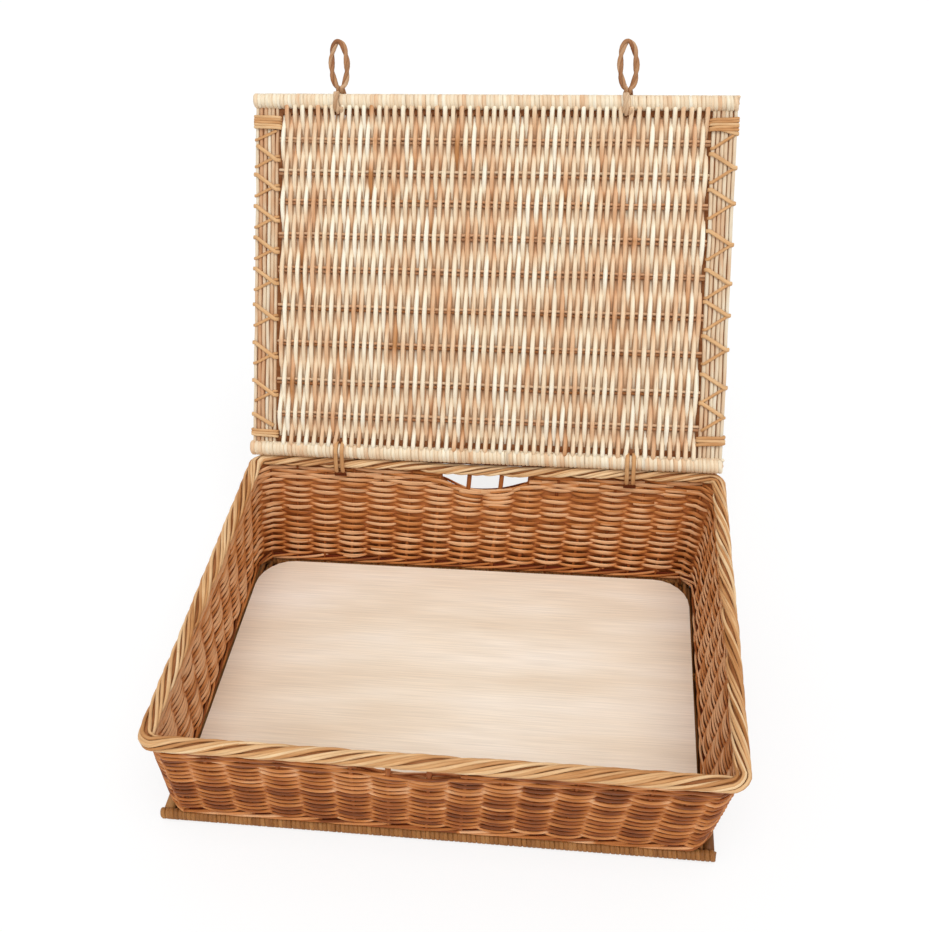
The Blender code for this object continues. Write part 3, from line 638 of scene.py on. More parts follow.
def siding_row(ring, bundles, random, row, sizes, turn=0):
    """One woven row all round the basket, in several rods whose ends lap inside."""
    reach = 4 if row >= sizes.siding_rows - sizes.wale_rows else 2
    ends = rod_ends(ring, random, reach, row % reach + turn)
    wobble = random.normal(0.0, ROW_WOBBLE, ring.count + 1)
    wobble[-1] = wobble[0]
    for start, end in zip(ends, ends[1:]):
        numbers = np.arange(start - ROD_OVERRUN, end + ROD_OVERRUN + 0.01, 1.0 / POINTS_PER_STAKE)
        places = ring.places(numbers)
        foot, top, outward, segments = ring.upright(places)
        heights, runs_there = row_heights(ring, places, row, sizes)
        phase = math.pi * ((numbers - row - turn) * 2 / reach + 1)
        wave = np.cos(phase)
        heights = heights + np.interp(numbers % ring.count, np.arange(ring.count + 1), wobble)
        lap = smooth_step((start + LAP_START - numbers) / LAP_RAMP)
        lap = lap - smooth_step((numbers - end + LAP_START) / LAP_RAMP)
        heights = heights - ROW_TILT * np.sin(phase) + lap * LAP_LIFT
        depths = sizes.siding_swing * np.sign(wave) * np.abs(wave) ** 0.75 - np.abs(lap) * LAP_DEPTH
        size = random.uniform(*ROD_SPREAD) * (1.0 - LAP_TAPER * np.abs(lap))
        swell = SIDING_OUTER_HEIGHT * np.abs(wave) + SIDING_INNER_HEIGHT * np.maximum(-wave, 0.0)
        height = (SIDING_HEIGHT + swell) * size
        path = wall_points(foot, top, outward, heights, depths)
        way = level(outward)
        # Painted shade outside the walls and painted light inside; the rods' flanks get painted shade by
        # their sway
        shade = 0.20 + 0.8 * random.beta(2.2, 2.0) - SIDING_OUTSIDE_PAINTED_SHADE * wave
        knots = np.arange(start - 1, end + 3)
        shade = shade + np.interp(numbers, knots, random.normal(0.0, 0.16, len(knots)))
        bundle = bundles[segments[len(segments) // 2] // 2]
        for low, high in runs(runs_there):
            if high - low > 3:
                part = slice(low, high)
                depth = SIDING_DEPTH * size[part]
                bundle.add(path[part], way[part], height[part], depth, shade[part], sway=wave[part])


def wall_shade_sheet(ring, bundle, quarter):
    """A dark sheet of painted shade in the middle of a wall between its rows, under the border and the
    hand-holes.
    """
    places = np.linspace(ring.starts[2 * quarter], ring.starts[2 * quarter + 2], 61)
    foot, top, outward, _ = ring.upright(places)
    dip = handhole_dip(places, ring)
    lower = WALL_FOOT + SHADE_SHEET_FOOT_GAP
    upper = np.where(dip > 0.0, WALL_TOP - dip - SHADE_SHEET_LIP_GAP, BORDER_MIDDLE)
    edges = [
        wall_points(foot, top, outward, height, side * SHADE_SHEET_HALF)
        for height, side in ((lower, 1), (upper, 1), (upper, -1), (lower, -1))
    ]
    bundle.add_slab(edges, 0.5, 0.36, places)


class BASKET_OT_siding(bpy.types.Operator):
    """Weave the four walls, row by row, round their stakes"""

    bl_idname = "basket.siding"
    bl_label = "Siding"

    def execute(self, context):
        sizes = context.scene.basket_sizes
        ring = WallRing(sizes.stake_spacing)
        random = np.random.default_rng(11)
        bundles = [RodBundle(20 + index, 8) for index in range(4)]
        for row in range(sizes.siding_rows + 1):
            siding_row(ring, bundles, random, row, sizes)
            if row >= sizes.siding_rows - sizes.wale_rows:
                siding_row(ring, bundles, random, row, sizes, 2)
        corners = ("front_right", "back_right", "back_left", "front_left")
        for quarter, (bundle, side, corner) in enumerate(zip(bundles, SIDES, corners)):
            wall_shade_sheet(ring, bundle, quarter)
            nodes = (f"siding_{side}", f"corner_{corner}")
            bundle.build(f"woven_siding_{side}", siding_willow, "basket", "willow_siding", nodes)
        return {"FINISHED"}


class BASKET_OT_stakes(bpy.types.Operator):
    """Stand the stakes that the walls are woven round"""

    bl_idname = "basket.stakes"
    bl_label = "Stakes"

    def execute(self, context):
        sizes = context.scene.basket_sizes
        ring = WallRing(sizes.stake_spacing)
        foot, top, outward, segments = ring.upright(ring.stakes)
        bare = handhole_dip(ring.stakes, ring) > 0.0
        heights = np.linspace(WALL_FOOT - STAKE_BELOW, WALL_TOP + STAKE_ABOVE, 8)
        for quarter, side in enumerate(SIDES):
            bundle = RodBundle(40 + quarter, 10)
            for index in np.flatnonzero(segments // 2 == quarter):
                path = wall_points(foot[index], top[index], outward[index], heights)
                radius = HANDHOLE_STAKE_RADIUS if bare[index] else sizes.stake_radius
                # Stakes within the walls are darkened with painted shade, the bare ones at the hand-holes
                # only a little
                shade = bundle.random.uniform(0.2, 0.5)
                shadow = 0.1 if bare[index] else 0.3
                bundle.add(path, (*outward[index], 0.0), radius, radius, shade, shadow=shadow)
            nodes = [f"handhole_stake_{side}_{number}" for number in (1, 2) if side in HANDHOLES]
            bundle.build(f"stakes_{side}", siding_willow, "basket", "willow_siding", nodes)
        return {"FINISHED"}


# The foot round: how far its rods rise and fall, how far they swing out and in, and the dark rod of painted
# shade in its middle
UPSETT_RISE = 0.0031
UPSETT_LIFT = 0.0004
UPSETT_OUT = 0.0025
UPSETT_IN = 0.0035
UPSETT_SHADE_CORE = (0.0036, 0.0014)


class BASKET_OT_upsett(bpy.types.Operator):
    """Weave the four-rod round at the walls' foot"""

    bl_idname = "basket.upsett"
    bl_label = "Upsett"

    def execute(self, context):
        sizes = context.scene.basket_sizes
        ring = WallRing(sizes.stake_spacing)
        middle = (WALL_FOOT + SIDING_FOOT) / 2
        radius = sizes.upsett_radius
        shades = np.random.default_rng(61).uniform(0.05, 1.0, (4, ring.count + 2))
        for quarter, side in enumerate(SIDES):
            bundle = RodBundle(60 + quarter, 8)
            numbers = ring.span(quarter)
            foot, top, outward, _ = ring.upright(ring.places(numbers))
            way = level(outward)
            # A dark rod of painted shade fills the middle of the foot round
            bundle.add(wall_points(foot, top, outward, middle), way, *UPSETT_SHADE_CORE, 0.1, shadow=0.8)
            for strand in range(4):
                turn = (numbers - strand) / 4.0 % 1.0
                swing = np.sin(2.0 * math.pi * turn)
                rise = np.where(turn < 0.5, turn * 4.0 - 1.0, 3.0 - turn * 4.0)
                reach = np.where(swing > 0.0, UPSETT_OUT, UPSETT_IN)
                depths = reach * np.sign(swing) * np.abs(swing) ** 0.6
                path = wall_points(foot, top, outward, middle + UPSETT_LIFT + UPSETT_RISE * rise, depths)
                bundle.add(path, way, radius, radius * 0.8, shades[strand][(numbers // 4).astype(int) + 1])
            nodes = (f"upsett_{side}",)
            bundle.build(f"woven_upsett_{side}", siding_willow, "basket", "willow_siding", nodes)
        return {"FINISHED"}


# Rim

# How far the plait's middle line lies inside the rim, and how far before a corner it begins to turn
BORDER_INSET = 0.0075
BORDER_RUN = 0.008

# A strand's turn round that line, in degrees from straight out, and the share of it that dives at each end
STRAND_START = -110.0
STRAND_TURN = 345.0
STRAND_DIVE = 0.14

# How far out and up a strand lies where it dives, and what it gains where it is on top
STRAND_LOW = (0.0022, 0.0018)
STRAND_GAIN = (0.0035, 0.0027)
STRAND_LOOSENESS = 0.0003

# The plait's core, darkened with painted shade, and the dark rod of painted shadow that closes its back edge
# under the lid, as half height and depth
BORDER_CORE = (0.0034, 0.0044)
BACK_SHADOW_ROD = (0.0019, 0.0016)
BACK_SHADOW_ROD_HEIGHT = 0.1384
BACK_SHADOW_ROD_SHIFT = 0.0035


def border_sag(points):
    """How far the rim sags over the back hand-hole, where its rods are cut away."""
    middle, _, half_width = HANDHOLES["back"]
    near = smooth_step(1.8 - np.abs(points[:, 0] - middle) / half_width)
    return np.where(points[:, 1] > 0.0, BORDER_SAG * near, 0.0)


class BASKET_OT_border(bpy.types.Operator):
    """Turn the stakes down into the rim, each strand over its neighbours"""

    bl_idname = "basket.border"
    bl_label = "Border"

    def execute(self, context):
        sizes = context.scene.basket_sizes
        outline = Outline((RIM_HALF[0] - BORDER_INSET, RIM_HALF[1] - BORDER_INSET), BORDER_RUN)
        bundles = [RodBundle(80 + index, 8) for index in range(4)]
        random = np.random.default_rng(81)
        for strand in range(sizes.border_strands):
            self.strand(bundles, outline, random, strand, sizes)
        for quarter, (bundle, side) in enumerate(zip(bundles, SIDES)):
            places = np.linspace(outline.starts[2 * quarter], outline.starts[2 * quarter + 2], 80)
            points, outward, _ = outline.points(places)
            way = level(outward)
            path = np.column_stack((points, BORDER_MIDDLE - border_sag(points)))
            # The core is darkened with painted shade; along the back a dark rod is painted shadow under the
            # lid's edge
            bundle.add(path, way, *BORDER_CORE, 0.2, shadow=0.35)
            if side == "back":
                path = np.column_stack((points + (0.0, BACK_SHADOW_ROD_SHIFT), np.full(80, BACK_SHADOW_ROD_HEIGHT)))
                bundle.add(path[6:-16], way[6:-16], *BACK_SHADOW_ROD, 0.0, shadow=0.9)
            nodes = (f"border_{side}",)
            bundle.build(f"plaited_border_{side}", border_willow, "basket", "willow_border", nodes)
        return {"FINISHED"}

    def strand(self, bundles, outline, random, strand, sizes):
        """One strand, which comes up outside, crosses over the rim and goes down inside."""
        start = outline.total * (strand + random.uniform(-0.25, 0.25)) / sizes.border_strands
        reach = sizes.border_reach * random.uniform(0.9, 1.1)
        share = np.linspace(0.0, 1.0, 40)
        points, outward, numbers = outline.points(start + reach * share)
        angle = np.radians(STRAND_START + STRAND_TURN * share + random.uniform(-8.0, 8.0))
        tuck = smooth_step(share / STRAND_DIVE) * smooth_step((1.0 - share) / STRAND_DIVE)
        loose = random.uniform(-STRAND_LOOSENESS, STRAND_LOOSENESS)
        out, up = (low + (gain + loose) * tuck for low, gain in zip(STRAND_LOW, STRAND_GAIN))
        flat = points + outward * (out * np.cos(angle))[:, None]
        path = np.column_stack((flat, BORDER_MIDDLE - border_sag(points) + up * np.sin(angle)))
        way = np.column_stack((outward * np.cos(angle)[:, None], np.sin(angle)))
        thick = sizes.border_radius * random.uniform(0.84, 1.12) * (1.0 - 0.2 * share)
        quarter = numbers[len(numbers) // 2] // 2
        # Painted light: strands along the back are paler, against the shade of the lid's rear edge
        shade = random.beta(2.2, 1.8) + (0.22 if quarter == 2 else 0.0)
        bundles[quarter].add(path, way, thick, thick * 0.9, shade)


# Square work, as in the base and the lid

def weave_path(places, lifts, step):
    """A smooth path through places with their lifts, as two arrays."""
    along = []
    lift = []
    for (start, low), (end, high) in zip(zip(places, lifts), zip(places[1:], lifts[1:])):
        count = max(3, int(round((end - start) / step)))
        share = np.arange(count) / count
        along.append(start + (end - start) * share)
        lift.append(low + (high - low) * (0.5 - 0.5 * np.cos(math.pi * share)))
    return np.concatenate((*along, places[-1:])), np.concatenate((*lift, lifts[-1:]))


def lid_points(across, reach, lift):
    """Points of the lid by their place across it, their reach from the hinge and their lift inwards."""
    across, reach, lift = np.broadcast_arrays(across, reach, lift)
    lean_sin, lean_cos = math.sin(LID_LEAN), math.cos(LID_LEAN)
    forward = reach * lean_sin - lift * lean_cos
    upward = reach * lean_cos + lift * lean_sin
    return LID_AXIS + np.stack((across, forward, upward), axis=-1)


# The lid's weavers: half a weaver's width and depth, and what the width gains over a stick pair
WEAVER_WIDTH = 0.00205
WEAVER_SPREAD = 0.00028
WEAVER_DEPTH = 0.00170

# How far a weaver leans aside midway between two stick pairs, how unevenly it lies and how weavers crowd
LID_WEAVER_LEAN = 0.00035
LID_DRIFT = 0.00022
LID_CROWDING = 0.0012
CROWDING_PLACES = 12

# Where a weaver turns round an edge stick, how far it swings there, and its points' distance
LID_END = 0.0045
LID_END_SWING = 0.0046
LID_STEP = 0.0046

# How near to a stick pair a weaver on the far side is painted with deeper shade
LID_SHADE_REACH = 0.0055

# The rods of a stick pair: their offset from its middle, their darkest and palest shade and their painted
# shadow; the lower rod is painted darker for shade
LID_STICK_RODS = ((-0.0019, 0.05, 0.35, 0.40), (0.0019, 0.15, 0.55, 0.10))
LID_STICK_SIZE = (0.00155, 0.00160)

# The dark slips of painted shade between the weavers and beside the edges: half width and depth, and the edge
# slips' place
LID_SHADE_SLIP = (0.0010, 0.0003)
LID_EDGE_SHADE_SLIP = (0.0045, 0.0003)
LID_EDGE_SHADE_SLIP_PLACE = 0.0095


# Where ties and loops pass between weavers: their distance from the lid's edges, the length over which
# the weavers make way, how far they move aside and how far round
PUSH_AT_TIES = 0.006
PUSH_AT_LOOPS = 0.008
PUSH_LENGTH = 0.016
PUSH_ASIDE = 0.0016
PUSH_WIDTH = 0.009


def lid_push(across, reach):
    """How far weavers move aside where a tie or a loop passes between them."""
    push = np.zeros(np.broadcast(across, reach).shape)
    openings = [(x - RIM_SHIFT, PUSH_AT_TIES) for x in TIES.values()]
    openings += [(x, LID_SPAN - PUSH_AT_LOOPS) for x, _ in LOOPS.values()]
    for centre, middle in openings:
        near = smooth_step(1.0 - np.abs(reach - middle) / PUSH_LENGTH)
        apart = across - centre
        push = push + near * np.sign(apart) * PUSH_ASIDE * np.exp(-((apart / PUSH_WIDTH) ** 2))
    return push


class BASKET_OT_lid_weave(bpy.types.Operator):
    """Weave the lid's panel over and under its stick pairs"""

    bl_idname = "basket.lid_weave"
    bl_label = "Lid weave"

    def execute(self, context):
        sizes = context.scene.basket_sizes
        random = np.random.default_rng(101)
        bundle = RodBundle(102, 8)
        places = np.array((LID_END, *(share * LID_SPAN for share in LID_STICK_SHARES), LID_SPAN - LID_END))
        swings = np.full(len(places), sizes.lid_swing)
        swings[[0, -1]] = LID_END_SWING
        pitch = 2 * LID_WEAVE_HALF / sizes.lid_weavers
        drifts = random.normal(0.0, LID_DRIFT, (sizes.lid_weavers, len(places)))
        crowding = random.normal(0.0, LID_CROWDING, CROWDING_PLACES)
        crowding[[0, -1]] = 0.0
        middles = -LID_WEAVE_HALF + pitch * (np.arange(sizes.lid_weavers) + 0.5)
        known = np.linspace(-LID_WEAVE_HALF, LID_WEAVE_HALF, CROWDING_PLACES)
        middles = middles + np.interp(middles, known, crowding)
        for index, across in enumerate(middles):
            self.weaver(bundle, random, across, 1.0 if index % 2 else -1.0, places, swings, drifts[index])
        self.slips(bundle, middles)
        bundle.build("woven_lid_panel", lid_willow, "lid", "willow_lid", ("lid_weave",))
        self.stick_pairs(random, known)
        return {"FINISHED"}

    def weaver(self, bundle, random, across, first, places, swings, drift):
        """One weaver over and under the sticks, thick where it is on top and pointed where it dives."""
        turns = np.arange(len(places))
        reach, lift = weave_path(places, first * swings * (-1.0) ** turns, LID_STEP)
        phase = np.interp(reach, places, math.pi * turns)
        x = across + np.interp(reach, places, drift) + first * LID_WEAVER_LEAN * np.sin(phase)
        x = x + lid_push(x, reach)
        sway = first * np.cos(phase)
        width = (WEAVER_WIDTH + WEAVER_SPREAD * np.abs(sway)) * random.uniform(0.96, 1.05)
        # Painted shade: a weaver's flanks are darker where it passes under, most near a stick pair; on top it
        # is painted a little paler
        near = np.exp(-((np.abs(reach[:, None] - places).min(axis=1) / LID_SHADE_REACH) ** 2))
        hidden = -np.abs(sway) ** 0.7 * (0.13 + 0.45 * near)
        spindles = random.normal(0.62, 0.10) + random.normal(0.0, 0.25, len(places))
        shade = np.interp(reach, places, spindles) + 0.10 * sway
        path = lid_points(x, reach, lift)
        bundle.add(path, LID_OUT, width, WEAVER_DEPTH, shade, sway=np.where(sway > 0.0, 0.5 * sway, hidden))

    def slips(self, bundle, middles):
        """Narrow dark slips of painted shade between the weavers, and between their ends beside the wound
        edges.
        """
        reach = np.linspace(0.004, LID_SPAN - 0.004, 14)
        for middle in (middles[:-1] + middles[1:]) / 2:
            bundle.add(lid_points(middle, reach, 0.0), LID_OUT, *LID_SHADE_SLIP, 0.35, shadow=0.35)
        across = np.linspace(-LID_WEAVE_HALF, LID_WEAVE_HALF, 20)
        for middle in (LID_EDGE_SHADE_SLIP_PLACE, LID_SPAN - LID_EDGE_SHADE_SLIP_PLACE):
            bundle.add(lid_points(across, middle, 0.0), LID_OUT, *LID_EDGE_SHADE_SLIP, 0.10, shadow=0.7)

    def stick_pairs(self, random, known):
        """The pairs of thin sticks that the weavers cross."""
        bundle = RodBundle(103, 8)
        across = np.linspace(-LID_WEAVE_HALF - 0.002, LID_WEAVE_HALF + 0.002, 60)
        for share in LID_STICK_SHARES:
            for offset, low, high, shadow in LID_STICK_RODS:
                bend = np.interp(across, known, random.normal(0.0, 0.0004, CROWDING_PLACES))
                path = lid_points(across, share * LID_SPAN + offset + bend, 0.0)
                bundle.add(path, LID_OUT, *LID_STICK_SIZE, random.uniform(low, high), shadow=shadow)
        nodes = [f"lid_stick_{number + 1}" for number in range(len(LID_STICK_SHARES))]
        bundle.build("lid_stick_pairs", lid_willow, "lid", "willow_lid", nodes)


def wound_stick(bundle, centre_of, middles, pitch, radius, wrap_radius, shade_span):
    """Turns of willow wound round a straight stick, side by side."""
    random = bundle.random
    flat_radius = wrap_radius * 0.85
    for middle in middles:
        angle = np.linspace(0.0, 2.0 * math.pi, 17) + random.uniform(0.0, 0.5)
        along = middle + pitch * 0.35 * (angle - angle.mean()) / math.pi + random.normal(0.0, 0.0002)
        ring = radius - flat_radius
        path, way = centre_of(along, ring * np.cos(angle), ring * np.sin(angle))
        width = pitch * 0.60 * random.uniform(0.94, 1.08)
        low, high = shade_span
        shade = low + (high - low) * random.beta(2.0, 1.6)
        bundle.add(path, way, width, flat_radius * random.uniform(0.9, 1.05), shade)


def even_middles(low, high, pitch):
    """Middles of turns laid side by side from one place to another."""
    count = int(round((high - low) / pitch))
    return low + (high - low) * (np.arange(count) + 0.5) / count


# How far the turns stand out over the lid's edge sticks, the thickness of a turn and the sticks inside
LID_WRAP_OUT = 0.0005
LID_WRAP_RADIUS = 0.0017
LID_EDGE_CORE = 0.0052


class BASKET_OT_lid_edges(bpy.types.Operator):
    """Wind willow round the lid's rear and front edge sticks"""

    bl_idname = "basket.lid_edges"
    bl_label = "Lid edges"

    def execute(self, context):
        weave, edge = LID_WEAVE_HALF, LID_HALF
        pitch = 2 * weave / context.scene.basket_sizes.lid_weavers
        parts = ((-edge, -weave), (-weave, weave), (weave, edge))
        middles = np.concatenate([even_middles(*ends, pitch) for ends in parts])
        across = np.linspace(-edge + 0.001, edge - 0.001, 30)
        for word, reach, seed in (("rear", 0.0, 111), ("front", LID_SPAN, 112)):
            bundle = RodBundle(seed, 6)

            def centre_of(along, first, second):
                path = lid_points(along, reach + first, second)
                return path, unit(path - lid_points(along, reach, 0.0))

            radius = LID_EDGE_RADIUS + LID_WRAP_OUT
            wound_stick(bundle, centre_of, middles, pitch, radius, LID_WRAP_RADIUS, (0.42, 0.95))
            bundle.add(lid_points(across, reach, 0.0), LID_OUT, LID_EDGE_CORE, LID_EDGE_CORE, 0.3)
            nodes = (f"lid_{word}_edge",)
            bundle.build(f"wound_lid_{word}_edge", lid_willow, "lid", "willow_lid", nodes)
        return {"FINISHED"}


# The lid's side rods: their distances from its middle, where they end, and the dark slab of painted shade
# behind them
SIDE_ROD_OUTER = 0.2437
SIDE_ROD_INNER = 0.2227
SIDE_ROD_RADIUS = 0.0020
SIDE_ROD_END = 0.004
SIDE_SHADE_SLAB_HALF = 0.0002
SIDE_SHADE_SLAB_INNER = LID_WEAVE_HALF - 0.001

# The strips that lace them: half their thickness and widths, and how far the broad one clears the thin one
STRIP_THICKNESS = 0.0006
THIN_WIDTH = 0.0015
BROAD_WIDTH = 0.0020
BROAD_CLEARANCE = 0.0009

# Distances from the hinge at which the two strips of a side meet: at the inner edge left, the outer one right
LEFT_APEXES = (0.305, 0.275, 0.2425, 0.210, 0.1775, 0.140, 0.100, 0.060)
RIGHT_APEXES = (0.333, 0.2995, 0.2645, 0.2236, 0.185, 0.153, 0.1186, 0.080, 0.0505)

# Turns that bind the side rods' ends: their middle's distance from the hinge, their number and spacing
BINDINGS = {
    "left_front": (0.3405, 5, 0.0027), "right_front": (0.3415, 5, 0.0026),
    "left_rear": (0.0165, 3, 0.0026), "right_rear": (0.0255, 3, 0.0032),
}

# How far a binding turn stands out past the outer and inner side rods and above them, and how it slopes
BINDING_PAST_OUTER = 0.0032
BINDING_PAST_INNER = 0.0042
BINDING_LIFT = 0.0042
BINDING_SLOPE = 0.0008
BINDING_UNEVENNESS = 0.0006
BINDING_THICKNESS = 0.0008


class BASKET_OT_lid_sides(bpy.types.Operator):
    """Lay the stiff rods at the lid's sides, lace them with crossed strips and bind their ends"""

    bl_idname = "basket.lid_sides"
    bl_label = "Lid sides"

    def execute(self, context):
        count = context.scene.basket_sizes.side_rods
        for sign, side in ((-1.0, "left"), (1.0, "right")):
            self.rods(sign, side, count)
            self.lacing(sign, side)
            self.bindings(sign, side)
        return {"FINISHED"}

    def rods(self, sign, side, count):
        """The straight rods, from the outer one in, with a little painted shade, and the dark slab of painted
        shade behind them.
        """
        bundle = RodBundle(121 if sign < 0 else 122, 10)
        random = bundle.random
        reach = np.linspace(SIDE_ROD_END, LID_SPAN - SIDE_ROD_END, 60)
        for distance in np.linspace(SIDE_ROD_OUTER, SIDE_ROD_INNER, count):
            bend = np.interp(reach, np.linspace(0.0, LID_SPAN, 12), random.normal(0.0, 0.00035, 12))
            knots = random.normal(0.0, 0.12, 10)
            shade = random.uniform(0.2, 0.85) + np.interp(reach, np.linspace(0.0, LID_SPAN, 10), knots)
            size = random.uniform(0.85, 1.02) * SIDE_ROD_RADIUS
            path = lid_points(sign * distance + bend, reach, 0.0)
            bundle.add(path, LID_OUT, size, size, shade, shadow=0.12)
        reach = np.linspace(SIDE_ROD_END, LID_SPAN - SIDE_ROD_END, 12)
        corners = ((SIDE_SHADE_SLAB_INNER, 1), (SIDE_ROD_OUTER, 1), (SIDE_ROD_OUTER, -1), (SIDE_SHADE_SLAB_INNER, -1))
        edges = [lid_points(sign * across, reach, face * SIDE_SHADE_SLAB_HALF) for across, face in corners]
        bundle.add_slab(edges, 0.15, 1.0)
        nodes = [f"lid_side_rod_{side}_{index + 1}" for index in range(4)]
        bundle.build(f"lid_side_rods_{side}", lid_willow, "lid", "willow_lid", nodes)

    def strip(self, bundle, sign, passes, clearance, width, shade):
        """One flat strip: its passes over the inner face, the turns round the edges and the lines behind.

        A pass is its two ends, each as the side rod's distance from the middle and the reach.
        """
        middle = (SIDE_ROD_INNER + SIDE_ROD_OUTER) / 2
        height = SIDE_ROD_RADIUS + STRIP_THICKNESS + clearance
        points = []
        outs = []
        for (start, end), following in zip(passes, passes[1:] + [None]):
            legs = [(start, end, 1.0)]
            if following:
                legs.append((end, following[0], -1.0))
            for low, high, face in legs:
                for x, reach in np.linspace(low, high, 8):
                    points.append((x, reach, face * height))
                    outs.append((0.0, face))
                if not following and face > 0:
                    break
                x, reach = high
                out = 1.0 if x > middle else -1.0
                for turn in np.linspace(0.15, 0.85, 5) * math.pi:
                    beside, above = out * math.sin(turn), face * math.cos(turn)
                    points.append((x + height * beside, reach, height * above))
                    outs.append((beside, above))
        points, outs = np.array(points), np.array(outs)
        path = lid_points(sign * points[:, 0], points[:, 1], points[:, 2])
        outward = sign * outs[:, :1] * np.array((1.0, 0.0, 0.0)) + outs[:, 1:] * LID_OUT
        bundle.add(path, outward, width, STRIP_THICKNESS, shade)

    def lacing(self, sign, side):
        """Two strips wound in opposite ways: the broad one runs down to the right over the thin one."""
        bundle = RodBundle(131 if sign < 0 else 132, 8)
        inner, outer = SIDE_ROD_INNER, SIDE_ROD_OUTER
        if side == "left":
            broad = [((outer, apex + 0.012), (inner, apex - 0.003)) for apex in LEFT_APEXES]
            broad.append(((outer, 0.036), (inner, 0.0245)))
            thin = [((inner, 0.332), (outer, 0.3225))]
            thin += [((inner, apex + 0.001), (outer, apex - 0.010)) for apex in LEFT_APEXES]
        else:
            broad = [((inner, 0.339), (outer, 0.333))]
            broad += [((inner, apex + 0.013), (outer, apex)) for apex in RIGHT_APEXES[1:]]
            thin = [((outer, apex - 0.001), (inner, apex - 0.015)) for apex in RIGHT_APEXES]
        self.strip(bundle, sign, thin, 0.0, THIN_WIDTH, 0.45)
        self.strip(bundle, sign, broad, BROAD_CLEARANCE, BROAD_WIDTH, 0.62)
        nodes = (f"lid_lacing_{side}",)
        bundle.build(f"lid_lacing_strips_{side}", border_willow, "lid", "willow_lacing", nodes)

    def bindings(self, sign, side):
        """A few close turns at each end of the side rods."""
        outer, inner = SIDE_ROD_OUTER + BINDING_PAST_OUTER, SIDE_ROD_INNER - BINDING_PAST_INNER
        middle, half = (outer + inner) / 2, (outer - inner) / 2
        angle = np.linspace(0.0, 2.0 * math.pi, 33)[:-1]
        x = half * np.sign(np.cos(angle)) * np.abs(np.cos(angle)) ** 0.35
        lift = BINDING_LIFT * np.sign(np.sin(angle)) * np.abs(np.sin(angle)) ** 0.5
        for end in ("rear", "front"):
            centre, turns, pitch = BINDINGS[f"{side}_{end}"]
            bundle = RodBundle(141 + (sign > 0) + 2 * (end == "front"), 8)
            for turn in range(turns):
                reach = centre + (turn - (turns - 1) / 2) * pitch
                slope = bundle.random.uniform(-BINDING_UNEVENNESS, BINDING_UNEVENNESS) - sign * BINDING_SLOPE
                path = lid_points(sign * (middle + x), reach - sign * slope * np.cos(angle), lift)
                outward = unit(path - lid_points(sign * middle, reach, 0.0))
                shade = 0.3 + 0.5 * bundle.random.uniform()
                bundle.add(path, outward, pitch * 0.53, BINDING_THICKNESS, shade, closed=True)
            nodes = (f"lid_binding_{side}_{end}",)
            bundle.build(f"lid_binding_turns_{side}_{end}", border_willow, "lid", "willow_lacing", nodes)


# The base's weave: how far inside its edges it ends, its pitch, swing and points' distance, half a
# weaver's width and depth, and the sticks that it crosses
BASE_INSET = 0.0097
BASE_PITCH = 0.0042
BASE_SWING = 0.0028
BASE_STEP = 0.008
BASE_WEAVER = (0.0022, 0.0019)
BASE_STICK_OFFSET = 0.0028
BASE_STICK_RADIUS = 0.0024

# The dark slips of painted shade under its sides and its front and back: their place from the weave's end and
# their size
BASE_SHADE_SLIP_PLACE = 0.0030
BASE_SHADE_SLIP = (0.0060, 0.0004)
BASE_SHADE_SLIP_HEIGHTS = (0.0022, 0.0018)

# Its wound edges: the turns' place, pitch, thickness, outer radius, lift and stretch, and their core;
# its side rods
BASE_EDGE_INSET = 0.0047
BASE_WRAP_PITCH = 0.0040
BASE_WRAP_RADIUS = 0.0012
BASE_WRAP_OUTER = 0.0049
BASE_WRAP_LIFT = 0.0007
BASE_WRAP_STRETCH = 1.15
BASE_EDGE_CORE = 0.0033
BASE_ROD_RADIUS = 0.0047


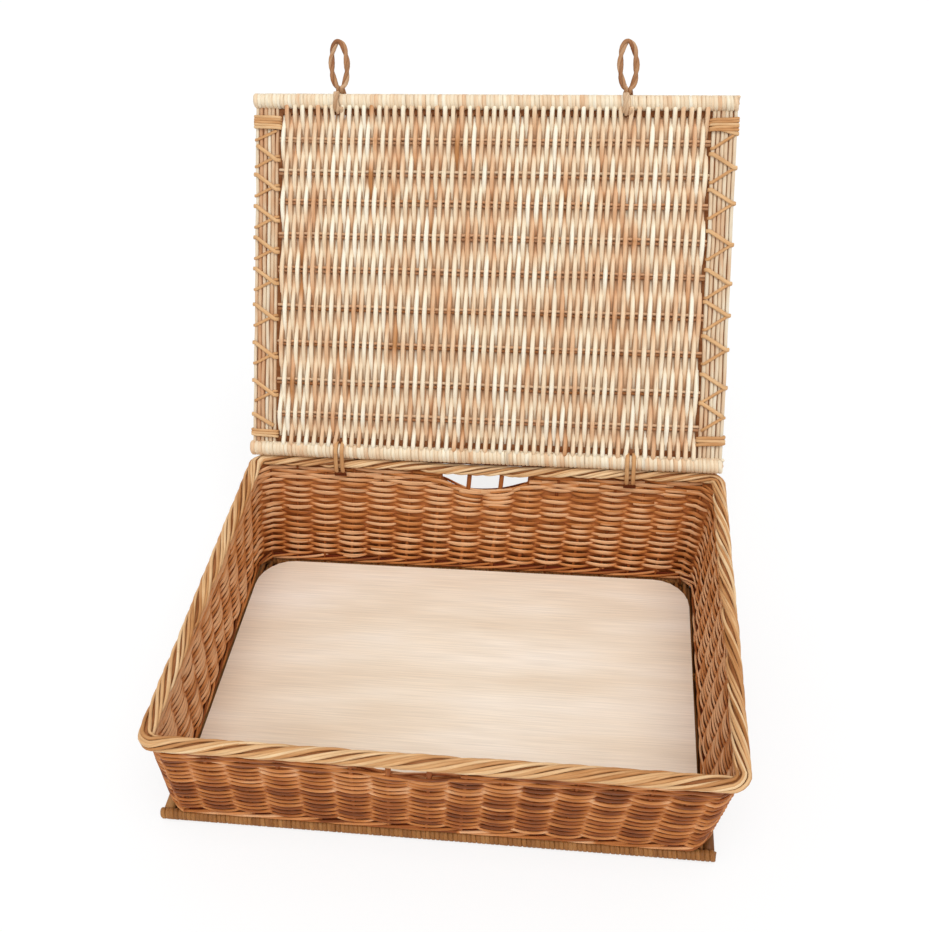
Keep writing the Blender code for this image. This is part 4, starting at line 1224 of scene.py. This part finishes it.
class BASKET_OT_base(bpy.types.Operator):
    """Weave the base and wind its front and back edges"""

    bl_idname = "basket.base"
    bl_label = "Base"

    def execute(self, context):
        weave_x, weave_y = (half - BASE_INSET for half in BASE_HALF)
        sticks = np.linspace(-weave_y, weave_y, 6)
        self.panel(weave_x, weave_y, sticks)
        self.stick_pairs(weave_x, sticks)
        for word, side in (("front", -1.0), ("back", 1.0)):
            self.edge(word, side)
        for word, side in (("left", -1.0), ("right", 1.0)):
            self.side_rod(word, side, weave_y)
        return {"FINISHED"}

    def panel(self, weave_x, weave_y, sticks):
        """The weavers from front to back, and the dark slips of painted shade under the panel's edges."""
        bundle = RodBundle(151, 6)
        count = int(2 * weave_x / BASE_PITCH)
        for index, x in enumerate(-weave_x + 2 * weave_x / count * (np.arange(count) + 0.5)):
            lifts = BASE_SWING * -((-1.0) ** (index + np.arange(len(sticks))))
            along, lift = weave_path(sticks, lifts, BASE_STEP)
            path = np.column_stack((np.full(len(along), x), along, BASE_MIDDLE + lift))
            bundle.add(path, UP, *BASE_WEAVER, bundle.random.beta(2.0, 1.8))
        side_height, end_height = BASE_SHADE_SLIP_HEIGHTS
        for side in (-1.0, 1.0):
            x, y = side * (weave_x - BASE_SHADE_SLIP_PLACE), side * (weave_y - BASE_SHADE_SLIP_PLACE)
            path = np.linspace((x, -weave_y, side_height), (x, weave_y, side_height), 12)
            bundle.add(path, UP, *BASE_SHADE_SLIP, 0.1, shadow=0.8)
            path = np.linspace((-weave_x, y, end_height), (weave_x, y, end_height), 12)
            bundle.add(path, UP, *BASE_SHADE_SLIP, 0.1, shadow=0.8)
        bundle.build("woven_base_panel", base_willow, "basket", "willow_siding", ("base_weave",))

    def stick_pairs(self, weave_x, sticks):
        """The pairs of sticks that the base's weavers cross."""
        bundle = RodBundle(152, 8)
        for y in sticks[1:-1]:
            for offset in (-BASE_STICK_OFFSET, BASE_STICK_OFFSET):
                ends = [(x, y + offset, BASE_MIDDLE) for x in (-weave_x, weave_x)]
                bundle.add(np.linspace(*ends, 30), UP, BASE_STICK_RADIUS, BASE_STICK_RADIUS)
        nodes = [f"base_stick_{number + 1}" for number in range(4)]
        bundle.build("base_stick_pairs", base_willow, "basket", "willow_siding", nodes)

    def edge(self, word, side):
        """A wound stick along the front or the back."""
        bundle = RodBundle(153 + (side > 0), 6)
        half_x = BASE_HALF[0]
        centre_y = side * (BASE_HALF[1] - BASE_EDGE_INSET)

        def centre_of(along, first, second):
            height = BASE_MIDDLE + BASE_WRAP_LIFT + second * BASE_WRAP_STRETCH
            path = np.column_stack((along, centre_y + first, height))
            return path, np.column_stack((along * 0.0, first, second))

        middles = even_middles(-half_x, half_x, BASE_WRAP_PITCH)
        sizes = (BASE_WRAP_PITCH, BASE_WRAP_OUTER, BASE_WRAP_RADIUS)
        wound_stick(bundle, centre_of, middles, *sizes, (0.35, 0.8))
        ends = [(x, centre_y, BASE_MIDDLE) for x in (-half_x + 0.001, half_x - 0.001)]
        bundle.add(np.linspace(*ends, 20), UP, BASE_EDGE_CORE, BASE_EDGE_CORE, 0.2)
        nodes = (f"base_{word}_edge",)
        bundle.build(f"wound_base_{word}_edge", base_willow, "basket", "willow_siding", nodes)

    def side_rod(self, word, side, weave_y):
        """A bare rod along the left or the right side."""
        bundle = RodBundle(155 + (side > 0), 12)
        ends = [(side * (BASE_HALF[0] - BASE_EDGE_INSET), y, BASE_MIDDLE) for y in (-weave_y, weave_y)]
        bundle.add(np.linspace(*ends, 30), UP, BASE_ROD_RADIUS, BASE_ROD_RADIUS)
        bundle.build(f"base_side_rod_{word}", base_willow, "basket", "willow_siding", (f"base_{word}_rod",))


# Hinge ties and closure loops

def smooth_curve(points, per_leg):
    """A Catmull-Rom curve through points."""
    points = np.asarray(points, float)
    padded = np.concatenate((points[:1] * 2 - points[1:2], points, points[-1:] * 2 - points[-2:-1]))
    share = (np.arange(per_leg) / per_leg)[:, None]
    result = []
    for a, b, c, d in zip(padded, padded[1:], padded[2:], padded[3:]):
        square = (2 * a - 5 * b + 4 * c - d) * share ** 2
        cube = (3 * b - a - 3 * c + d) * share ** 3
        result.append(0.5 * (2 * b + (c - a) * share + square + cube))
    return np.concatenate((*result, points[-1:]))


# A tie's two turns: half their distance apart, their radius round the lid's edge, half a turn's size,
# the height at which it leaves the border and its depth into the basket
TIE_APART = 0.0033
TIE_WRAP = LID_EDGE_RADIUS + 0.0016
TIE_SIZE = (0.0022, 0.0014)
TIE_BOTTOM = 0.1262
TIE_INNER = 0.1758

# Where a tie's turns go down inside the basket, as steps back from there and heights
TIE_LEG = ((0.0, 0.1385), (-0.0003, 0.1325), (0.0010, 0.1285), (0.0065, 0.1255))

# The dark notches of painted shade where they enter the wall: steps back, heights, half their length and
# their half size
TIE_SHADE_NOTCHES = ((0.0010, 0.1262), (0.0016, 0.1235))
TIE_SHADE_NOTCH_REACH = 0.0062
TIE_SHADE_NOTCH_SIZE = (0.0012, 0.0008)


class BASKET_OT_ties(bpy.types.Operator):
    """Tie the lid's rear edge to the back border with doubled willow"""

    bl_idname = "basket.ties"
    bl_label = "Hinge ties"

    def execute(self, context):
        hinge_y, hinge_z = LID_AXIS[1:]
        outer = hinge_y + TIE_WRAP
        inside = np.array((hinge_y - 0.004, 0.139))
        for side, centre in TIES.items():
            bundle = RodBundle(161 + (side == "right"), 8)
            points = []
            for x in (centre - TIE_APART, centre + TIE_APART):
                points += [(x, outer - 0.003, TIE_BOTTOM), (x, outer, TIE_BOTTOM + 0.003)]
                for angle in np.radians(np.linspace(0.0, 180.0, 9)):
                    y, z = hinge_y + TIE_WRAP * math.cos(angle), hinge_z + TIE_WRAP * math.sin(angle)
                    points.append((x, y, z))
                points += [(x, TIE_INNER + step, height) for step, height in TIE_LEG]
            path = smooth_curve(points, 4)
            way = np.column_stack((np.zeros(len(path)), path[:, 1:] - inside))
            # Painted shade: the turns darken as they go down into the wall
            low = smooth_step((0.1310 - path[:, 2]) / 0.004)
            bundle.add(path, way, *TIE_SIZE, 0.45 - 0.3 * low, shadow=0.7 * low)
            for step, height in TIE_SHADE_NOTCHES:
                ends = [(centre + x, TIE_INNER + step, height) for x in (-TIE_SHADE_NOTCH_REACH, TIE_SHADE_NOTCH_REACH)]
                bundle.add(np.linspace(*ends, 8), (0.0, 1.0, 0.0), *TIE_SHADE_NOTCH_SIZE, 0.0, shadow=0.95)
            nodes = (f"hinge_tie_{side}",)
            bundle.build(f"hinge_tie_strands_{side}", border_willow, "basket", "willow_lacing", nodes)
        return {"FINISHED"}


# A closure loop: half the distance of its legs, half its eye's width, the eye's start and end beyond the
# lid's edge, the legs' radius round that edge and the degrees they turn from and to
LOOP_LEG_HALF = 0.0020
LOOP_EYE_HALF = 0.0080
LOOP_NECK = 0.0136
LOOP_END = 0.0605
LOOP_WRAP = LID_EDGE_RADIUS + 0.0030
LOOP_LEG_START = -40.0
LOOP_LEG_ENDS = {1.0: (-225.0, 9), -1.0: (-318.0, 13)}

# Its two twisted strands: their distance from its middle line, half their size and a whole turn's length
LOOP_STRAND_OFFSET = 0.0014
LOOP_STRAND = (0.0021, 0.0019)
LOOP_TWIST = 0.034


def loop_leg(side):
    """Points of a loop's leg, hooked round the lid's edge, from its hidden end to the eye."""
    end, count = LOOP_LEG_ENDS[side]
    angles = np.radians(np.linspace(end, LOOP_LEG_START, count))
    return [(side * LOOP_LEG_HALF, LOOP_WRAP * math.cos(a), LOOP_WRAP * -math.sin(a)) for a in angles]


def loop_eye(lean):
    """Points of a loop's long eye, from one leg round to the other."""
    narrow = math.asin(LOOP_LEG_HALF / LOOP_EYE_HALF)
    half_length = (LOOP_END - LOOP_NECK) / (1.0 + math.cos(narrow))
    points = []
    for angle in np.linspace(narrow, 2.0 * math.pi - narrow, 25):
        reach = LOOP_END - half_length - half_length * math.cos(angle)
        tilt = lean * (reach - LOOP_NECK) / (LOOP_END - LOOP_NECK)
        points.append((LOOP_EYE_HALF * math.sin(angle) - tilt, reach, 0.0))
    return points


class BASKET_OT_loops(bpy.types.Operator):
    """Twist the two closure loops that hook round the lid's front edge"""

    bl_idname = "basket.loops"
    bl_label = "Closure loops"

    def execute(self, context):
        for side, (centre, lean) in LOOPS.items():
            bundle = RodBundle(171 + (side == "right"), 8)
            core = smooth_curve(loop_leg(1.0) + loop_eye(lean) + loop_leg(-1.0)[::-1], 4)
            path = lid_points(centre + core[:, 0], LID_SPAN + core[:, 1], -core[:, 2])
            tangent = unit(np.gradient(path, axis=0))
            first = unit(np.cross(tangent, LID_OUT + 0.01))
            second = np.cross(tangent, first)
            length = lengths_along(path)
            for strand in (0, 1):
                angle = 2.0 * math.pi * (length / LOOP_TWIST + strand / 2)
                offset = first * np.cos(angle)[:, None] + second * np.sin(angle)[:, None]
                knots = bundle.random.normal(0.0, 0.15, 14)
                shade = 0.42 + 0.3 * strand + np.interp(length, np.linspace(0.0, length[-1], 14), knots)
                shade = shade + 0.5 * smooth_step(-core[:, 2] / 0.004)
                bundle.add(path + offset * LOOP_STRAND_OFFSET, offset, *LOOP_STRAND, shade)
            nodes = (f"closure_loop_{side}",)
            bundle.build(f"twisted_loop_{side}", loop_willow, f"loop_{side}", "willow_loop", nodes)
        return {"FINISHED"}


class BASKET_OT_board(bpy.types.Operator):
    """Finish the loose plywood floor"""

    bl_idname = "basket.board"
    bl_label = "Floor board"

    def execute(self, context):
        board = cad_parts["floor_board"]
        board.data.materials.clear()
        board.data.materials.append(material_of(birch_plywood))
        return {"FINISHED"}


# Stage

WORLD_STRENGTH = 0.62

# Each lamp's strength, the angle it fills in the sky and its turn, in degrees
LAMPS = {
    "key_light": (1.6, 45.0, (24.0, 0.0, 24.0)),
    "fill_light": (0.2, 60.0, (52.0, 0.0, -30.0)),
}

# The camera's focal length and shift as parts of its view's width, its place and its turns in degrees
VIEW_FOCUS = 1185.5 / 932.0
VIEW_SHIFT = -60.0 / 932.0
SENSOR_WIDTH = 36.0
CAMERA_PLACE = (0.1395, -0.7661, 0.9248)
CAMERA_TURNS = (-8.4315, 36.4376, -2.9947)


class BASKET_OT_stage(bpy.types.Operator):
    """Set the pale floor, the soft light and the camera"""

    bl_idname = "basket.stage"
    bl_label = "Stage"

    def execute(self, context):
        scene = context.scene
        scene.view_settings.view_transform = "Standard"
        bpy.ops.object.select_all(action="DESELECT")
        bpy.ops.mesh.primitive_plane_add(size=12.0, location=(0.0, 1.5, 0.0))
        floor = context.object
        floor.name = "studio_floor"
        floor.data.materials.append(material_of(studio_paper))
        self.world(scene)
        for name, (strength, angle, turn) in LAMPS.items():
            lamp = bpy.data.lights.new(name, "SUN")
            lamp.energy = strength
            lamp.angle = math.radians(angle)
            item = bpy.data.objects.new(name, lamp)
            item.rotation_euler = [math.radians(value) for value in turn]
            scene.collection.objects.link(item)
        self.camera(scene)
        return {"FINISHED"}

    def world(self, scene):
        """A soft even sky, plain white where the camera, a reflection or clear matter shows it."""
        world = scene.world or bpy.data.worlds.new("studio")
        scene.world = world
        world.use_nodes = True
        tree = world.node_tree
        tree.nodes.clear()
        ray = add_node(tree, "ShaderNodeLightPath").outputs
        white = (1.0, 1.0, 1.0, 1.0)
        light = add_node(tree, "ShaderNodeBackground", None, Color=white, Strength=WORLD_STRENGTH)
        seen = add_node(tree, "ShaderNodeBackground", None, Color=white, Strength=1.0)
        share = calculate(tree, "ADD", ray["Is Camera Ray"], ray["Is Glossy Ray"], clamp=True)
        share = calculate(tree, "ADD", share, ray["Is Transmission Ray"], clamp=True)
        mix = add_node(tree, "ShaderNodeMixShader", None, i0=share, i1=light.outputs[0], i2=seen.outputs[0])
        add_node(tree, "ShaderNodeOutputWorld", None, Surface=mix.outputs[0])

    def camera(self, scene):
        """The camera at the photographed angle."""
        data = bpy.data.cameras.new("camera")
        data.sensor_width = SENSOR_WIDTH
        data.lens = SENSOR_WIDTH * VIEW_FOCUS
        data.shift_y = VIEW_SHIFT
        data.clip_start = 0.01
        data.clip_end = 50.0
        camera = bpy.data.objects.new("camera", data)
        yaw, pitch, roll = (math.radians(value) for value in CAMERA_TURNS)
        flat = math.cos(pitch)
        forward = np.array((math.sin(yaw) * flat, math.cos(yaw) * flat, -math.sin(pitch)))
        across = np.array((math.cos(yaw), -math.sin(yaw), 0.0))
        upright = np.cross(across, forward)
        right = math.cos(roll) * across + math.sin(roll) * upright
        up = -math.sin(roll) * across + math.cos(roll) * upright
        matrix = np.eye(4)
        matrix[:3] = np.column_stack((right, up, -forward, CAMERA_PLACE))
        camera.matrix_world = matrix.T
        scene.collection.objects.link(camera)
        scene.camera = camera


OPERATORS = (
    BASKET_OT_siding, BASKET_OT_stakes, BASKET_OT_upsett, BASKET_OT_border, BASKET_OT_base, BASKET_OT_board,
    BASKET_OT_lid_weave, BASKET_OT_lid_edges, BASKET_OT_lid_sides, BASKET_OT_ties, BASKET_OT_loops,
    BASKET_OT_stage,
)


class BASKET_PT_panel(bpy.types.Panel):
    """Sizes and steps of the basket."""

    bl_idname = "BASKET_PT_panel"
    bl_label = "Willow basket"
    bl_space_type = "VIEW_3D"
    bl_region_type = "UI"
    bl_category = "Basket"

    def draw(self, context):
        sizes = context.scene.basket_sizes
        for name in BasketSizes.__annotations__:
            self.layout.prop(sizes, name)
        for operator in OPERATORS:
            self.layout.operator(operator.bl_idname)


def register():
    """Make the sizes, operators and panel known."""
    for item in (BasketSizes, *OPERATORS, BASKET_PT_panel):
        bpy.utils.register_class(item)
    bpy.types.Scene.basket_sizes = bpy.props.PointerProperty(type=BasketSizes)


def unregister():
    """Take the sizes, operators and panel away again."""
    del bpy.types.Scene.basket_sizes
    for item in (BASKET_PT_panel, *reversed(OPERATORS), BasketSizes):
        bpy.utils.unregister_class(item)


def main():
    """Build the basket and its stage."""
    register()
    bpy.ops.object.select_all(action="DESELECT")
    for operator in OPERATORS:
        group, step = operator.bl_idname.split(".")
        getattr(getattr(bpy.ops, group), step)()


if __name__ == "__main__":
    main()
